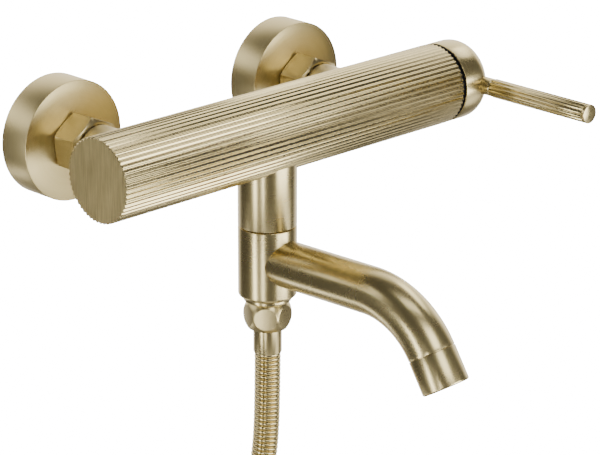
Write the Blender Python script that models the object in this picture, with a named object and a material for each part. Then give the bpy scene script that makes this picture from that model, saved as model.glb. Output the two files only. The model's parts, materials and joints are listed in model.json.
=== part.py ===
"""Wall mounted bath mixer: reeded body, side lever, swivel spout and shower hose.

Metres, +Z up, +X to the right along the body, +Y into the wall.  The origin is
on the finished wall, midway between the two water inlets.
"""

import math

import bmesh
import bpy
from mathutils import Matrix, Vector

MM = 0.001
GAP = 0.0003

# --- Driving dimensions -------------------------------------------------------
INLET_SPACING = 150 * MM
BODY_TO_WALL = 72.5 * MM
BODY_RADIUS = 20.8 * MM
BODY_LEFT = -107 * MM
BODY_RIGHT = 121 * MM
BODY_BORE = 17.5 * MM
BODY_END_WALL = 3.5 * MM
RIB_COUNT = 52
RIB_DEPTH = 0.6 * MM
MOUTH_RADIUS = 19.7 * MM
MOUTH_DEPTH = 8 * MM

ROSETTE_RADIUS = 30 * MM
ROSETTE_DEPTH = 17.7 * MM
ROSETTE_RISE = 1.3 * MM
ROSETTE_WALL = 1.4 * MM
UNION_THREAD = 10.4 * MM
UNION_OFFSET = 6 * MM
UNION_IN_WALL = 15 * MM
UNION_REACH = 27.3 * MM
UNION_BORE = 6.5 * MM
NUT_ACROSS_FLATS = 26.5 * MM
NUT_LENGTH = 15.3 * MM
NUT_TURN = 7.0
BOSS_RADIUS = 12 * MM
NIPPLE_NECK = 8.5 * MM
NIPPLE_BORE = 5.5 * MM

CORE_RADIUS = 13.2 * MM
CORE_BORE = 9.5 * MM
CORE_LEFT = -92 * MM
CORE_RIGHT = 88 * MM

CARTRIDGE_RADIUS = 12.3 * MM
CARTRIDGE_INNER = 10.4 * MM
CARTRIDGE_FLANGE = 17 * MM
STUB_START = 80 * MM
FLANGE_END = 92 * MM
BASE_END = 114.4 * MM
SEAT_DISC_RADIUS = 10 * MM
SEAT_DISC_END = 117.4 * MM
DUCT_CIRCLE = 5.2 * MM
DUCT_RADIUS = 2.2 * MM
HOUSING_END = 132.5 * MM
HOUSING_MOUTH = 8 * MM
HOUSING_LIP = 2 * MM
NUT_THREAD = 12.4 * MM
CARTRIDGE_NUT_END = 99 * MM
COVER_BORE = 12.7 * MM
COVER_THICKNESS = 2 * MM
ROTOR_START = 128.2 * MM
ROTOR_COLLAR_END = 130.2 * MM
ROTOR_END = 137.1 * MM
ROTOR_COLLAR = 10 * MM
ROTOR_RADIUS = 7.6 * MM
ROTOR_SLOT_WIDTH = 5.6 * MM
ROTOR_SLOT_LENGTH = 12.8 * MM
PIVOT_PIN_RADIUS = 1.2 * MM
PIVOT_PIN_LENGTH = 14.4 * MM
PIN_HOLE_RADIUS = 1.5 * MM
SLIDING_DISC_RADIUS = 7.6 * MM
SLIDING_DISC_THICKNESS = 3.2 * MM
CARRIER_END = 127 * MM
DISC_TRAVEL = 3.25 * MM
SPINDLE_RADIUS = 2.4 * MM
SPINDLE_ARM = 9.5 * MM
BALL_RADIUS = 3.2 * MM

HUB_RADIUS = 20.7 * MM
HUB_RIM = 123.2 * MM
HUB_END = 143.6 * MM
HUB_ROUND = 10 * MM
HUB_WALL = 2 * MM
HUB_END_WALL = 3.6 * MM
HUB_CAVITY = 13.4 * MM
SCREW_RADIUS = 0.9 * MM
SCREW_HOLE = 1.2 * MM
SCREW_TIP = 2.8 * MM
SCREW_HEAD = 9 * MM
TILT_PIVOT = 135.2 * MM

LEVER_X = 137 * MM
LEVER_ROOT = 16.3 * MM
LEVER_NECK_RADIUS = 4.6 * MM
LEVER_ROD_START = 27 * MM
LEVER_ROD_END = 88.4 * MM
LEVER_TIP = 90.3 * MM
LEVER_ROD_RADIUS = 4.9 * MM
LEVER_FLUTES = 12
LEVER_FLUTE_DEPTH = 0.5 * MM

STEM_X = 1.5 * MM
STEM_RADIUS = 14.7 * MM
STEM_TOP = -13.6 * MM
STEM_BOTTOM = -47.2 * MM
POST_BOTTOM = -96 * MM
POST_RADIUS = 9.3 * MM
POST_BORE = 5.5 * MM
BARREL_BOTTOM = -84.4 * MM
BARREL_BORE = 12 * MM

SPOUT_SWIVEL = 3.5
SPOUT_Z = -65.1 * MM
SPOUT_RADIUS = 11.8 * MM
SPOUT_BORE = 9.5 * MM
SPOUT_STRAIGHT = 66.8 * MM
SPOUT_BEND_RADIUS = 45.4 * MM
SPOUT_BEND = 58.6
AERATOR_LENGTH = 18 * MM
AERATOR_THREAD = 5.5 * MM

HOSE_NUT_TOP = -86.9 * MM
HOSE_NUT_BOTTOM = -101.2 * MM
HOSE_NUT_ACROSS_FLATS = 21.7 * MM
HOSE_NUT_RADIUS = 12.25 * MM
HOSE_NUT_TURN = -49.0
FERRULE_RADIUS = 7.2 * MM
FERRULE_BOTTOM = -114.6 * MM
HOSE_RADIUS = 6.75 * MM
COIL_TURN_RADIUS = 67.5 * MM
COIL_PITCH = 13.8 * MM
COIL_TURNS = 3 + 1 / 6
COIL_CENTRE = (0.0045, -0.2815)
TAIL_DROP = 45.6 * MM

# --- Worked out from them -----------------------------------------------------
INLET_X = INLET_SPACING / 2
BODY_Y = -BODY_TO_WALL
NUT_START = ROSETTE_DEPTH + ROSETTE_RISE + GAP
NUT_FRONT = NUT_START + NUT_LENGTH
SPOUT_BEND_RAD = math.radians(SPOUT_BEND)

# Direction that a turned profile's own +Z takes, as an Euler rotation.
ALONG_X = (0.0, math.pi / 2, 0.0)
TOWARDS_ROOM = (math.pi / 2, 0.0, 0.0)
UPRIGHT = (0.0, 0.0, 0.0)

COARSE = 16
MEDIUM = 24
FINE = 32

# The shower hose's centre line, from its ferrule down to where it joins the coil: (x, z).
HOSE_ROUTE = [
    (0.0015, -0.1149),
    (0.0014, -0.1250),
    (0.0011, -0.1400),
    (0.0005, -0.1550),
    (-0.0010, -0.1690),
    (-0.0045, -0.1830),
    (-0.0105, -0.1960),
    (-0.0190, -0.2080),
    (-0.0292, -0.2180),
]


# --- Materials ----------------------------------------------------------------
def make_material(name, colour, roughness, metallic):
    material = bpy.data.materials.new(name)
    material.use_nodes = True
    shader = material.node_tree.nodes["Principled BSDF"]
    shader.inputs["Base Color"].default_value = (*colour, 1.0)
    shader.inputs["Roughness"].default_value = roughness
    shader.inputs["Metallic"].default_value = metallic
    material.diffuse_color = (*colour, 1.0)
    return material


def make_materials():
    return {
        "brushed_gold": make_material("brushed_gold", (0.62, 0.49, 0.27), 0.30, 1.0),
        "raw_brass": make_material("raw_brass", (0.66, 0.47, 0.19), 0.40, 1.0),
        "steel": make_material("steel", (0.56, 0.57, 0.58), 0.30, 1.0),
        "black_plastic": make_material("black_plastic", (0.02, 0.02, 0.02), 0.50, 0.0),
        "white_plastic": make_material("white_plastic", (0.80, 0.80, 0.78), 0.45, 0.0),
        "ceramic": make_material("ceramic", (0.88, 0.87, 0.83), 0.25, 0.0),
        "rubber": make_material("rubber", (0.03, 0.03, 0.03), 0.75, 0.0),
        "fibre": make_material("fibre", (0.25, 0.08, 0.05), 0.80, 0.0),
    }


# --- Modelling helpers --------------------------------------------------------
def clear_scene():
    for thing in list(bpy.data.objects):
        bpy.data.objects.remove(thing, do_unlink=True)


def add_object(name, data, material, location=(0, 0, 0), rotation=UPRIGHT, parent=None):
    piece = bpy.data.objects.new(name, data)
    bpy.context.scene.collection.objects.link(piece)
    if material is not None:
        data.materials.append(material)
    piece.location = location
    piece.rotation_euler = rotation
    piece.parent = parent
    return piece


def finish_mesh(name, shape, smooth_angle=35.0):
    """Turn a bmesh into a mesh with outward faces and sharp edges past the angle."""
    bmesh.ops.remove_doubles(shape, verts=shape.verts, dist=1e-7)
    bmesh.ops.recalc_face_normals(shape, faces=shape.faces)
    mesh = bpy.data.meshes.new(name)
    shape.to_mesh(mesh)
    shape.free()
    mesh.shade_smooth()
    mesh.set_sharp_from_angle(angle=math.radians(smooth_angle))
    return mesh


def turned_mesh(name, profile, segments):
    """Spin a profile of (radius, height) points about Z.

    A profile that starts and ends on the axis is a solid; any other is closed
    on itself and gives a ring.
    """
    shape = bmesh.new()
    points = [shape.verts.new((radius, 0.0, height)) for radius, height in profile]
    edges = [shape.edges.new(pair) for pair in zip(points, points[1:])]
    if profile[0][0] > 0 or profile[-1][0] > 0:
        edges.append(shape.edges.new((points[-1], points[0])))
    bmesh.ops.spin(
        shape,
        geom=points + edges,
        cent=(0, 0, 0),
        axis=(0, 0, 1),
        angle=2 * math.pi,
        steps=segments,
        use_merge=True,
    )
    return finish_mesh(name, shape)


def turned(name, profile, material, segments=MEDIUM, location=(0, 0, 0), rotation=UPRIGHT, parent=None):
    return add_object(name, turned_mesh(name, profile, segments), material, location, rotation, parent)


def bushing(inner, outer, low, high):
    """Profile of a plain ring."""
    return [(inner, low), (outer, low), (outer, high), (inner, high)]


def prism_mesh(name, outline, low, high):
    """Extrude a closed outline of (x, y) points from one height to another."""
    shape = bmesh.new()
    face = shape.faces.new([shape.verts.new((x, y, low)) for x, y in outline])
    swept = bmesh.ops.extrude_face_region(shape, geom=[face], use_keep_orig=True)
    moved = [item for item in swept["geom"] if isinstance(item, bmesh.types.BMVert)]
    bmesh.ops.translate(shape, verts=moved, vec=(0, 0, high - low))
    return finish_mesh(name, shape, 25.0)


def lofted_mesh(name, rings, closed):
    """Skin a list of rings; closed joins the last ring to the first, otherwise the ends are filled."""
    shape = bmesh.new()
    loops = [[shape.verts.new(point) for point in ring] for ring in rings]
    pairs = list(zip(loops, loops[1:]))
    if closed:
        pairs.append((loops[-1], loops[0]))
    for first, second in pairs:
        count = len(first)
        for i in range(count):
            j = (i + 1) % count
            shape.faces.new((first[i], first[j], second[j], second[i]))
    if not closed:
        shape.faces.new(loops[0])
        shape.faces.new(loops[-1])
    return finish_mesh(name, shape)


def cutter(name, mesh, location=(0, 0, 0), rotation=UPRIGHT, parent=None):
    guide = add_object(name, mesh, None, location, rotation, parent)
    guide.hide_render = True
    guide.display_type = "WIRE"
    return guide


def rod_cutter(name, radius, low, high, location=(0, 0, 0), rotation=UPRIGHT, parent=None, segments=MEDIUM):
    profile = [(0, low), (radius, low), (radius, high), (0, high)]
    return cutter(name, turned_mesh(name, profile, segments), location, rotation, parent)


def combine(piece, tool, operation="DIFFERENCE"):
    modifier = piece.modifiers.new(tool.name, "BOOLEAN")
    modifier.operation = operation
    modifier.object = tool


def hexagon(across_flats, turn=0.0):
    corner = across_flats / 2 / math.cos(math.pi / 6)
    angles = [math.radians(turn + 60 * step) for step in range(6)]
    return [(corner * math.cos(angle), corner * math.sin(angle)) for angle in angles]


def ribbed_outline(crest, depth, count):
    """Outline of a round bar with rounded ribs: a groove and two crest points for each rib."""
    outline = []
    for rib in range(count):
        for share, radius in ((0.0, crest - depth), (0.28, crest), (0.72, crest)):
            angle = 2 * math.pi * (rib + share) / count
            outline.append((radius * math.cos(angle), radius * math.sin(angle)))
    return outline


def arc(centre_radius, centre_height, radius, start, end, steps):
    """Points of a quarter round or less in a turned profile, angles in degrees from the radius axis."""
    points = []
    for step in range(steps + 1):
        angle = math.radians(start + (end - start) * step / steps)
        points.append((centre_radius + radius * math.cos(angle), centre_height + radius * math.sin(angle)))
    return points


def smooth_route(points, spacing):
    """Points about one spacing apart on a Catmull-Rom curve through the route's points."""
    padded = [2 * points[0] - points[1]] + points + [2 * points[-1] - points[-2]]
    fine = []
    for before, start, end, after in zip(padded, padded[1:], padded[2:], padded[3:]):
        for step in range(12):
            t = step / 12
            fine.append(
                0.5
                * (
                    2 * start
                    + (end - before) * t
                    + (2 * before - 5 * start + 4 * end - after) * t**2
                    + (3 * start - before - 3 * end + after) * t**3
                )
            )
    fine.append(points[-1])
    length = sum((b - a).length for a, b in zip(fine, fine[1:]))
    count = max(2, round(length / spacing))
    picked = [fine[0]]
    travelled = 0.0
    for a, b in zip(fine, fine[1:]):
        travelled += (b - a).length
        if travelled >= len(picked) * length / count - 1e-9 and len(picked) < count:
            picked.append(b)
    picked.append(fine[-1])
    return picked


# --- Wall connections ---------------------------------------------------------
def build_inlet(side, x, finishes):
    """One wall inlet: rosette, eccentric union, washer, tail nipple, union nut and inlet boss."""
    outward = math.copysign(1.0, x)
    seat = (x, 0, 0)
    gold = finishes["brushed_gold"]
    brass = finishes["raw_brass"]

    inner = ROSETTE_RADIUS - ROSETTE_WALL
    bore = UNION_THREAD + 0.4 * MM
    front = ROSETTE_DEPTH + ROSETTE_RISE
    rosette = [
        (inner, 0),
        (ROSETTE_RADIUS, 0),
        (ROSETTE_RADIUS, ROSETTE_DEPTH - 0.6 * MM),
        (ROSETTE_RADIUS - 0.6 * MM, ROSETTE_DEPTH),
        (bore, front),
        (bore, front - 2.2 * MM),
        (inner, ROSETTE_DEPTH - 2.3 * MM),
    ]
    turned(f"rosette_{side}", rosette, gold, FINE, seat, TOWARDS_ROOM)

    stations = [
        (-UNION_IN_WALL, UNION_OFFSET),
        (-1 * MM, UNION_OFFSET),
        (7 * MM, 0.0),
        (UNION_REACH, 0.0),
    ]

    def union_ring(radius, height, offset):
        ring = []
        for step in range(COARSE):
            angle = 2 * math.pi * step / COARSE
            ring.append((outward * offset + radius * math.cos(angle), radius * math.sin(angle), height))
        return ring

    rings = [union_ring(UNION_THREAD, height, offset) for height, offset in stations]
    rings += [union_ring(UNION_BORE, height, offset) for height, offset in reversed(stations)]
    add_object(
        f"eccentric_union_{side}",
        lofted_mesh("eccentric_union", rings, True),
        brass,
        seat,
        TOWARDS_ROOM,
    )

    washer_front = UNION_REACH + GAP + 2 * MM
    washer = bushing(6.2 * MM, 10.1 * MM, UNION_REACH + GAP, washer_front)
    turned(f"inlet_washer_{side}", washer, finishes["fibre"], COARSE, seat, TOWARDS_ROOM)

    collar = washer_front + GAP
    nipple = [
        (NIPPLE_BORE, collar),
        (10.1 * MM, collar),
        (10.1 * MM, collar + 2.2 * MM),
        (NIPPLE_NECK, collar + 2.2 * MM),
        (NIPPLE_NECK, 57.6 * MM),
        (NIPPLE_BORE, 57.6 * MM),
    ]
    turned(f"tail_nipple_{side}", nipple, brass, COARSE, seat, TOWARDS_ROOM)

    build_union_nut(side, seat, gold)

    boss = bushing(NIPPLE_NECK + GAP, BOSS_RADIUS, NUT_FRONT + GAP, 56.6 * MM)
    turned(f"inlet_boss_{side}", boss, gold, MEDIUM, seat, TOWARDS_ROOM)


def build_union_nut(side, seat, material):
    """Hexagon nut with both ends chamfered, threaded bore behind and a lip in front."""
    corner = NUT_ACROSS_FLATS / 2 / math.cos(math.pi / 6)
    flat = NUT_ACROSS_FLATS / 2
    outline = hexagon(NUT_ACROSS_FLATS, 30 + NUT_TURN)
    mesh = prism_mesh("union_nut", outline, NUT_START, NUT_FRONT)
    nut = add_object(f"union_nut_{side}", mesh, material, seat, TOWARDS_ROOM)
    chamfer = [
        (0, NUT_START - 1 * MM),
        (flat - 0.2 * MM, NUT_START - 1 * MM),
        (flat - 0.2 * MM, NUT_START),
        (corner + 0.1 * MM, NUT_START + 1.3 * MM),
        (corner + 0.1 * MM, NUT_FRONT - 1.5 * MM),
        (flat - 0.4 * MM, NUT_FRONT),
        (flat - 0.4 * MM, NUT_FRONT + 1 * MM),
        (0, NUT_FRONT + 1 * MM),
    ]
    form = cutter(f"union_nut_form_{side}", turned_mesh("nut_form", chamfer, FINE), seat, TOWARDS_ROOM)
    combine(nut, form, "INTERSECT")
    lip = NUT_FRONT - 2.2 * MM
    bore = [
        (0, NUT_START - 1 * MM),
        (UNION_THREAD + 0.4 * MM, NUT_START - 1 * MM),
        (UNION_THREAD + 0.4 * MM, lip),
        (NIPPLE_NECK + 0.4 * MM, lip),
        (NIPPLE_NECK + 0.4 * MM, NUT_FRONT + 1 * MM),
        (0, NUT_FRONT + 1 * MM),
    ]
    combine(nut, cutter(f"union_nut_bore_{side}", turned_mesh("nut_bore", bore, MEDIUM), seat, TOWARDS_ROOM))


# --- Mixer body ---------------------------------------------------------------
def build_body(finishes):
    """Reeded shell closed at its left end, with ports for the inlets and the outlet stem."""
    outline = ribbed_outline(BODY_RADIUS, RIB_DEPTH, RIB_COUNT)
    mesh = prism_mesh("body_shell", outline, BODY_LEFT, BODY_RIGHT)
    axis = (0, BODY_Y, 0)
    shell = add_object("body_shell", mesh, finishes["brushed_gold"], axis, ALONG_X)
    shoulder = BODY_RIGHT - MOUTH_DEPTH
    hollow = [
        (0, BODY_LEFT + BODY_END_WALL),
        (BODY_BORE, BODY_LEFT + BODY_END_WALL),
        (BODY_BORE, shoulder),
        (MOUTH_RADIUS, shoulder),
        (MOUTH_RADIUS, BODY_RIGHT + 2 * MM),
        (0, BODY_RIGHT + 2 * MM),
    ]
    combine(shell, cutter("body_hollow", turned_mesh("body_hollow", hollow, 40), axis, ALONG_X))
    for side, x in (("left", -INLET_X), ("right", INLET_X)):
        port = rod_cutter(f"inlet_port_{side}", BOSS_RADIUS + GAP, 45 * MM, 66 * MM, (x, 0, 0), TOWARDS_ROOM)
        combine(shell, port)
    outlet = rod_cutter("outlet_port", STEM_RADIUS + GAP, -30 * MM, -7 * MM, (STEM_X, BODY_Y, 0))
    combine(shell, outlet)

    core_profile = [
        (0, CORE_LEFT),
        (CORE_RADIUS, CORE_LEFT),
        (CORE_RADIUS, CORE_RIGHT),
        (CORE_BORE, CORE_RIGHT),
        (CORE_BORE, CORE_LEFT + 4 * MM),
        (0, CORE_LEFT + 4 * MM),
    ]
    core = turned("waterway_core", core_profile, finishes["raw_brass"], MEDIUM, axis, ALONG_X)
    for side, x in (("left", -INLET_X), ("right", INLET_X)):
        feed = rod_cutter(f"feed_{side}", NIPPLE_BORE, 55 * MM, 66 * MM, (x, 0, 0), TOWARDS_ROOM, None, 16)
        combine(core, feed)
    drain = rod_cutter("core_outlet", 6.5 * MM, -20 * MM, -5 * MM, (STEM_X, BODY_Y, 0), UPRIGHT, None, 16)
    combine(core, drain)


# --- Cartridge ----------------------------------------------------------------
def build_cartridge_body(finishes):
    """The fixed half: base, ceramic seat disc, housing, retaining nut and cover ring."""
    axis = (0, BODY_Y, 0)
    plastic = finishes["white_plastic"]
    base_profile = [
        (0, STUB_START),
        (CORE_BORE - GAP, STUB_START),
        (CORE_BORE - GAP, CORE_RIGHT + 0.4 * MM),
        (CARTRIDGE_FLANGE, CORE_RIGHT + 0.4 * MM),
        (CARTRIDGE_FLANGE, FLANGE_END),
        (CARTRIDGE_RADIUS - GAP, FLANGE_END),
        (CARTRIDGE_RADIUS - GAP, BASE_END),
        (0, BASE_END),
    ]
    base = turned("cartridge_base", base_profile, plastic, COARSE, axis, ALONG_X)
    seat_start = BASE_END + GAP
    seat_profile = [
        (0, seat_start),
        (SEAT_DISC_RADIUS, seat_start),
        (SEAT_DISC_RADIUS, SEAT_DISC_END),
        (0, SEAT_DISC_END),
    ]
    seat = turned("fixed_ceramic_disc", seat_profile, finishes["ceramic"], COARSE, axis, ALONG_X)
    for index in range(3):
        angle = math.radians(90 + 120 * index)
        offset = (0, BODY_Y + DUCT_CIRCLE * math.cos(angle), DUCT_CIRCLE * math.sin(angle))
        duct = rod_cutter(
            f"cartridge_duct_{index + 1}",
            DUCT_RADIUS,
            STUB_START - 2 * MM,
            SEAT_DISC_END + 1.6 * MM,
            offset,
            ALONG_X,
            None,
            10,
        )
        combine(base, duct)
        combine(seat, duct)
    housing = [
        (CARTRIDGE_INNER, seat_start),
        (CARTRIDGE_RADIUS, seat_start),
        (CARTRIDGE_RADIUS, HOUSING_END),
        (HOUSING_MOUTH, HOUSING_END),
        (HOUSING_MOUTH, HOUSING_END - HOUSING_LIP),
        (CARTRIDGE_INNER, HOUSING_END - HOUSING_LIP),
    ]
    turned("cartridge_housing", housing, plastic, COARSE, axis, ALONG_X)
    nut = bushing(NUT_THREAD, BODY_BORE - GAP, FLANGE_END + 0.4 * MM, CARTRIDGE_NUT_END)
    turned("cartridge_nut", nut, finishes["raw_brass"], COARSE, axis, ALONG_X)
    shoulder = BODY_RIGHT - MOUTH_DEPTH
    cover = bushing(COVER_BORE, MOUTH_RADIUS - GAP, shoulder + GAP, shoulder + GAP + COVER_THICKNESS)
    turned("cover_ring", cover, finishes["black_plastic"], FINE, axis, ALONG_X)


def build_rotor(finishes, turn_axis):
    """The part that turns for temperature: slotted rotor, pivot pin, and the sliding disc it drives."""
    rotor_profile = [
        (0, ROTOR_START),
        (ROTOR_COLLAR, ROTOR_START),
        (ROTOR_COLLAR, ROTOR_COLLAR_END),
        (ROTOR_RADIUS, ROTOR_COLLAR_END),
        (ROTOR_RADIUS, ROTOR_END),
        (0, ROTOR_END),
    ]
    shifted = [(radius, height - TILT_PIVOT) for radius, height in rotor_profile]
    plastic = finishes["white_plastic"]
    rotor = turned("cartridge_rotor", shifted, plastic, COARSE, (0, 0, 0), ALONG_X, turn_axis)
    half_width = ROTOR_SLOT_WIDTH / 2
    half_length = ROTOR_SLOT_LENGTH / 2
    slot_outline = [
        (-half_width, -half_length),
        (half_width, -half_length),
        (half_width, half_length),
        (-half_width, half_length),
    ]
    slot_mesh = prism_mesh("slot", slot_outline, -12 * MM, 5 * MM)
    combine(rotor, cutter("rotor_slot", slot_mesh, (0, 0, 0), ALONG_X, turn_axis))
    reach = 9 * MM
    pin_hole = rod_cutter("rotor_pin_hole", PIN_HOLE_RADIUS, -reach, reach, (0, 0, 0), UPRIGHT, turn_axis, 12)
    combine(rotor, pin_hole)
    pin_end = PIVOT_PIN_LENGTH / 2
    pin = [(0, -pin_end), (PIVOT_PIN_RADIUS, -pin_end), (PIVOT_PIN_RADIUS, pin_end), (0, pin_end)]
    turned("pivot_pin", pin, finishes["steel"], 12, (0, 0, 0), UPRIGHT, turn_axis)

    aside = DISC_TRAVEL / 2
    low = SEAT_DISC_END + GAP - TILT_PIVOT
    high = low + SLIDING_DISC_THICKNESS
    disc = [(0, low), (SLIDING_DISC_RADIUS, low), (SLIDING_DISC_RADIUS, high), (0, high)]
    turned("moving_ceramic_disc", disc, finishes["ceramic"], COARSE, (0, aside, 0), ALONG_X, turn_axis)
    low = high + GAP
    high = CARRIER_END - TILT_PIVOT
    carrier_profile = [(0, low), (SLIDING_DISC_RADIUS, low), (SLIDING_DISC_RADIUS, high), (0, high)]
    black = finishes["black_plastic"]
    carrier = turned("disc_carrier", carrier_profile, black, COARSE, (0, aside, 0), ALONG_X, turn_axis)
    socket_radius = BALL_RADIUS + 0.4 * MM
    socket = rod_cutter("ball_socket", socket_radius, -13 * MM, 0, (0, 0, 0), ALONG_X, turn_axis, 20)
    combine(carrier, socket)


# --- Lever and hub ------------------------------------------------------------
def build_hub(finishes, tilt_axis):
    """Domed hub cap, its spindle with a ball end, and the grub screw that clamps it."""
    rim = HUB_RIM - TILT_PIVOT
    end = HUB_END - TILT_PIVOT
    inner = HUB_RADIUS - HUB_WALL
    shoulder = arc(HUB_RADIUS - HUB_ROUND, end - HUB_ROUND, HUB_ROUND, 0, 90, 6)
    profile = [
        (0, end - HUB_END_WALL),
        (HUB_CAVITY, end - HUB_END_WALL),
        (HUB_CAVITY, 0.8 * MM),
        (15.4 * MM, -3.6 * MM),
        (inner, -7.7 * MM),
        (inner, rim),
        (HUB_RADIUS - 0.4 * MM, rim),
        (HUB_RADIUS, rim + 0.4 * MM),
        *shoulder,
        (0, end),
    ]
    gold = finishes["brushed_gold"]
    hub = turned("hub_cap", profile, gold, FINE, (0, 0, 0), ALONG_X, tilt_axis)
    lever_x = LEVER_X - TILT_PIVOT
    socket = rod_cutter(
        "lever_socket",
        LEVER_NECK_RADIUS + GAP,
        LEVER_ROOT - GAP,
        30 * MM,
        (lever_x, 0, 0),
        TOWARDS_ROOM,
        tilt_axis,
        COARSE,
    )
    combine(hub, socket)
    spindle_top = end - 1.4 * MM
    seat_radius = SPINDLE_RADIUS + GAP
    seat_top = spindle_top + 0.4 * MM
    seat = rod_cutter("spindle_seat", seat_radius, 0, seat_top, (0, 0, 0), ALONG_X, tilt_axis, 16)
    combine(hub, seat)
    screw_x = end - 1.9 * MM
    downwards = (math.pi, 0, 0)
    hole = rod_cutter("screw_hole", SCREW_HOLE, 1 * MM, 20 * MM, (screw_x, 0, 0), downwards, tilt_axis, 12)
    combine(hub, hole)
    screw = [(0, SCREW_TIP), (SCREW_RADIUS, SCREW_TIP), (SCREW_RADIUS, SCREW_HEAD), (0, SCREW_HEAD)]
    turned("grub_screw", screw, finishes["steel"], 12, (screw_x, 0, 0), downwards, tilt_axis)

    neck_angle = math.degrees(math.acos(SPINDLE_RADIUS / BALL_RADIUS))
    lower = arc(0, -SPINDLE_ARM, BALL_RADIUS, -90, neck_angle, 8)
    lower[0] = (0, -SPINDLE_ARM - BALL_RADIUS)
    profile = [*lower, (SPINDLE_RADIUS, spindle_top), (0, spindle_top)]
    spindle = turned("lever_spindle", profile, finishes["steel"], 16, (0, 0, 0), ALONG_X, tilt_axis)
    eye = rod_cutter("spindle_eye", PIN_HOLE_RADIUS, -5 * MM, 5 * MM, (0, 0, 0), UPRIGHT, tilt_axis, 12)
    combine(spindle, eye)


def build_lever(finishes, tilt_axis):
    """Smooth neck, fluted rod and flat end disc, all on one line towards the room."""
    gold = finishes["brushed_gold"]
    place = (LEVER_X - TILT_PIVOT, 0, 0)
    spigot = 2.4 * MM
    neck_end = LEVER_ROD_START - GAP
    neck = [
        (0, LEVER_ROOT),
        (LEVER_NECK_RADIUS, LEVER_ROOT),
        (LEVER_NECK_RADIUS, neck_end - 0.5 * MM),
        (LEVER_NECK_RADIUS - 0.7 * MM, neck_end),
        (spigot, neck_end),
        (spigot, LEVER_ROD_START + 9 * MM),
        (0, LEVER_ROD_START + 9 * MM),
    ]
    turned("lever_neck", neck, gold, COARSE, place, TOWARDS_ROOM, tilt_axis)
    outline = ribbed_outline(LEVER_ROD_RADIUS, LEVER_FLUTE_DEPTH, LEVER_FLUTES)
    rod_mesh = prism_mesh("lever_rod", outline, LEVER_ROD_START, LEVER_ROD_END)
    rod = add_object("lever_rod", rod_mesh, gold, place, TOWARDS_ROOM, tilt_axis)
    bore = rod_cutter(
        "rod_bore",
        spigot + GAP,
        LEVER_ROD_START - 2 * MM,
        LEVER_ROD_START + 9.5 * MM,
        place,
        TOWARDS_ROOM,
        tilt_axis,
        16,
    )
    combine(rod, bore)
    disc = [
        (0, LEVER_ROD_END + GAP),
        (LEVER_ROD_RADIUS, LEVER_ROD_END + GAP),
        (LEVER_ROD_RADIUS, LEVER_TIP - 0.4 * MM),
        (LEVER_ROD_RADIUS - 0.4 * MM, LEVER_TIP),
        (0, LEVER_TIP),
    ]
    turned("lever_end_disc", disc, gold, COARSE, place, TOWARDS_ROOM, tilt_axis)


# --- Outlet stem and swivel ---------------------------------------------------
def build_stem(finishes):
    """The fixed stem, and the post inside it that the spout barrel turns on."""
    place = (STEM_X, BODY_Y, 0)
    bore = 9 * MM
    stem = [
        (bore, STEM_TOP),
        (STEM_RADIUS, STEM_TOP),
        (STEM_RADIUS, STEM_BOTTOM + 0.5 * MM),
        (STEM_RADIUS - 0.5 * MM, STEM_BOTTOM),
        (bore, STEM_BOTTOM),
    ]
    turned("outlet_stem", stem, finishes["brushed_gold"], MEDIUM, place)
    flange = BARREL_BORE - 0.4 * MM
    flange_top = STEM_BOTTOM - GAP
    post_profile = [
        (POST_BORE, -28 * MM),
        (bore - 0.4 * MM, -28 * MM),
        (bore - 0.4 * MM, flange_top),
        (flange, flange_top),
        (flange, flange_top - 2.8 * MM),
        (POST_RADIUS, flange_top - 2.8 * MM),
        (POST_RADIUS, POST_BOTTOM),
        (POST_BORE, POST_BOTTOM),
    ]
    post = turned("swivel_post", post_profile, finishes["raw_brass"], COARSE, place)
    height = (STEM_X, BODY_Y, SPOUT_Z)
    combine(post, rod_cutter("post_port", 4.2 * MM, 2 * MM, 12 * MM, height, TOWARDS_ROOM, None, 16))
    for label, level in (("upper", -53 * MM), ("lower", -79 * MM)):
        section = arc((POST_RADIUS + BARREL_BORE) / 2, level, 1 * MM, 0, 315, 7)
        turned(f"swivel_o_ring_{label}", section, finishes["rubber"], COARSE, place)
    ring = bushing(POST_RADIUS + GAP, 12 * MM, BARREL_BOTTOM - 2.2 * MM, BARREL_BOTTOM - GAP)
    turned("barrel_retaining_ring", ring, finishes["brushed_gold"], MEDIUM, place)


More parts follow.
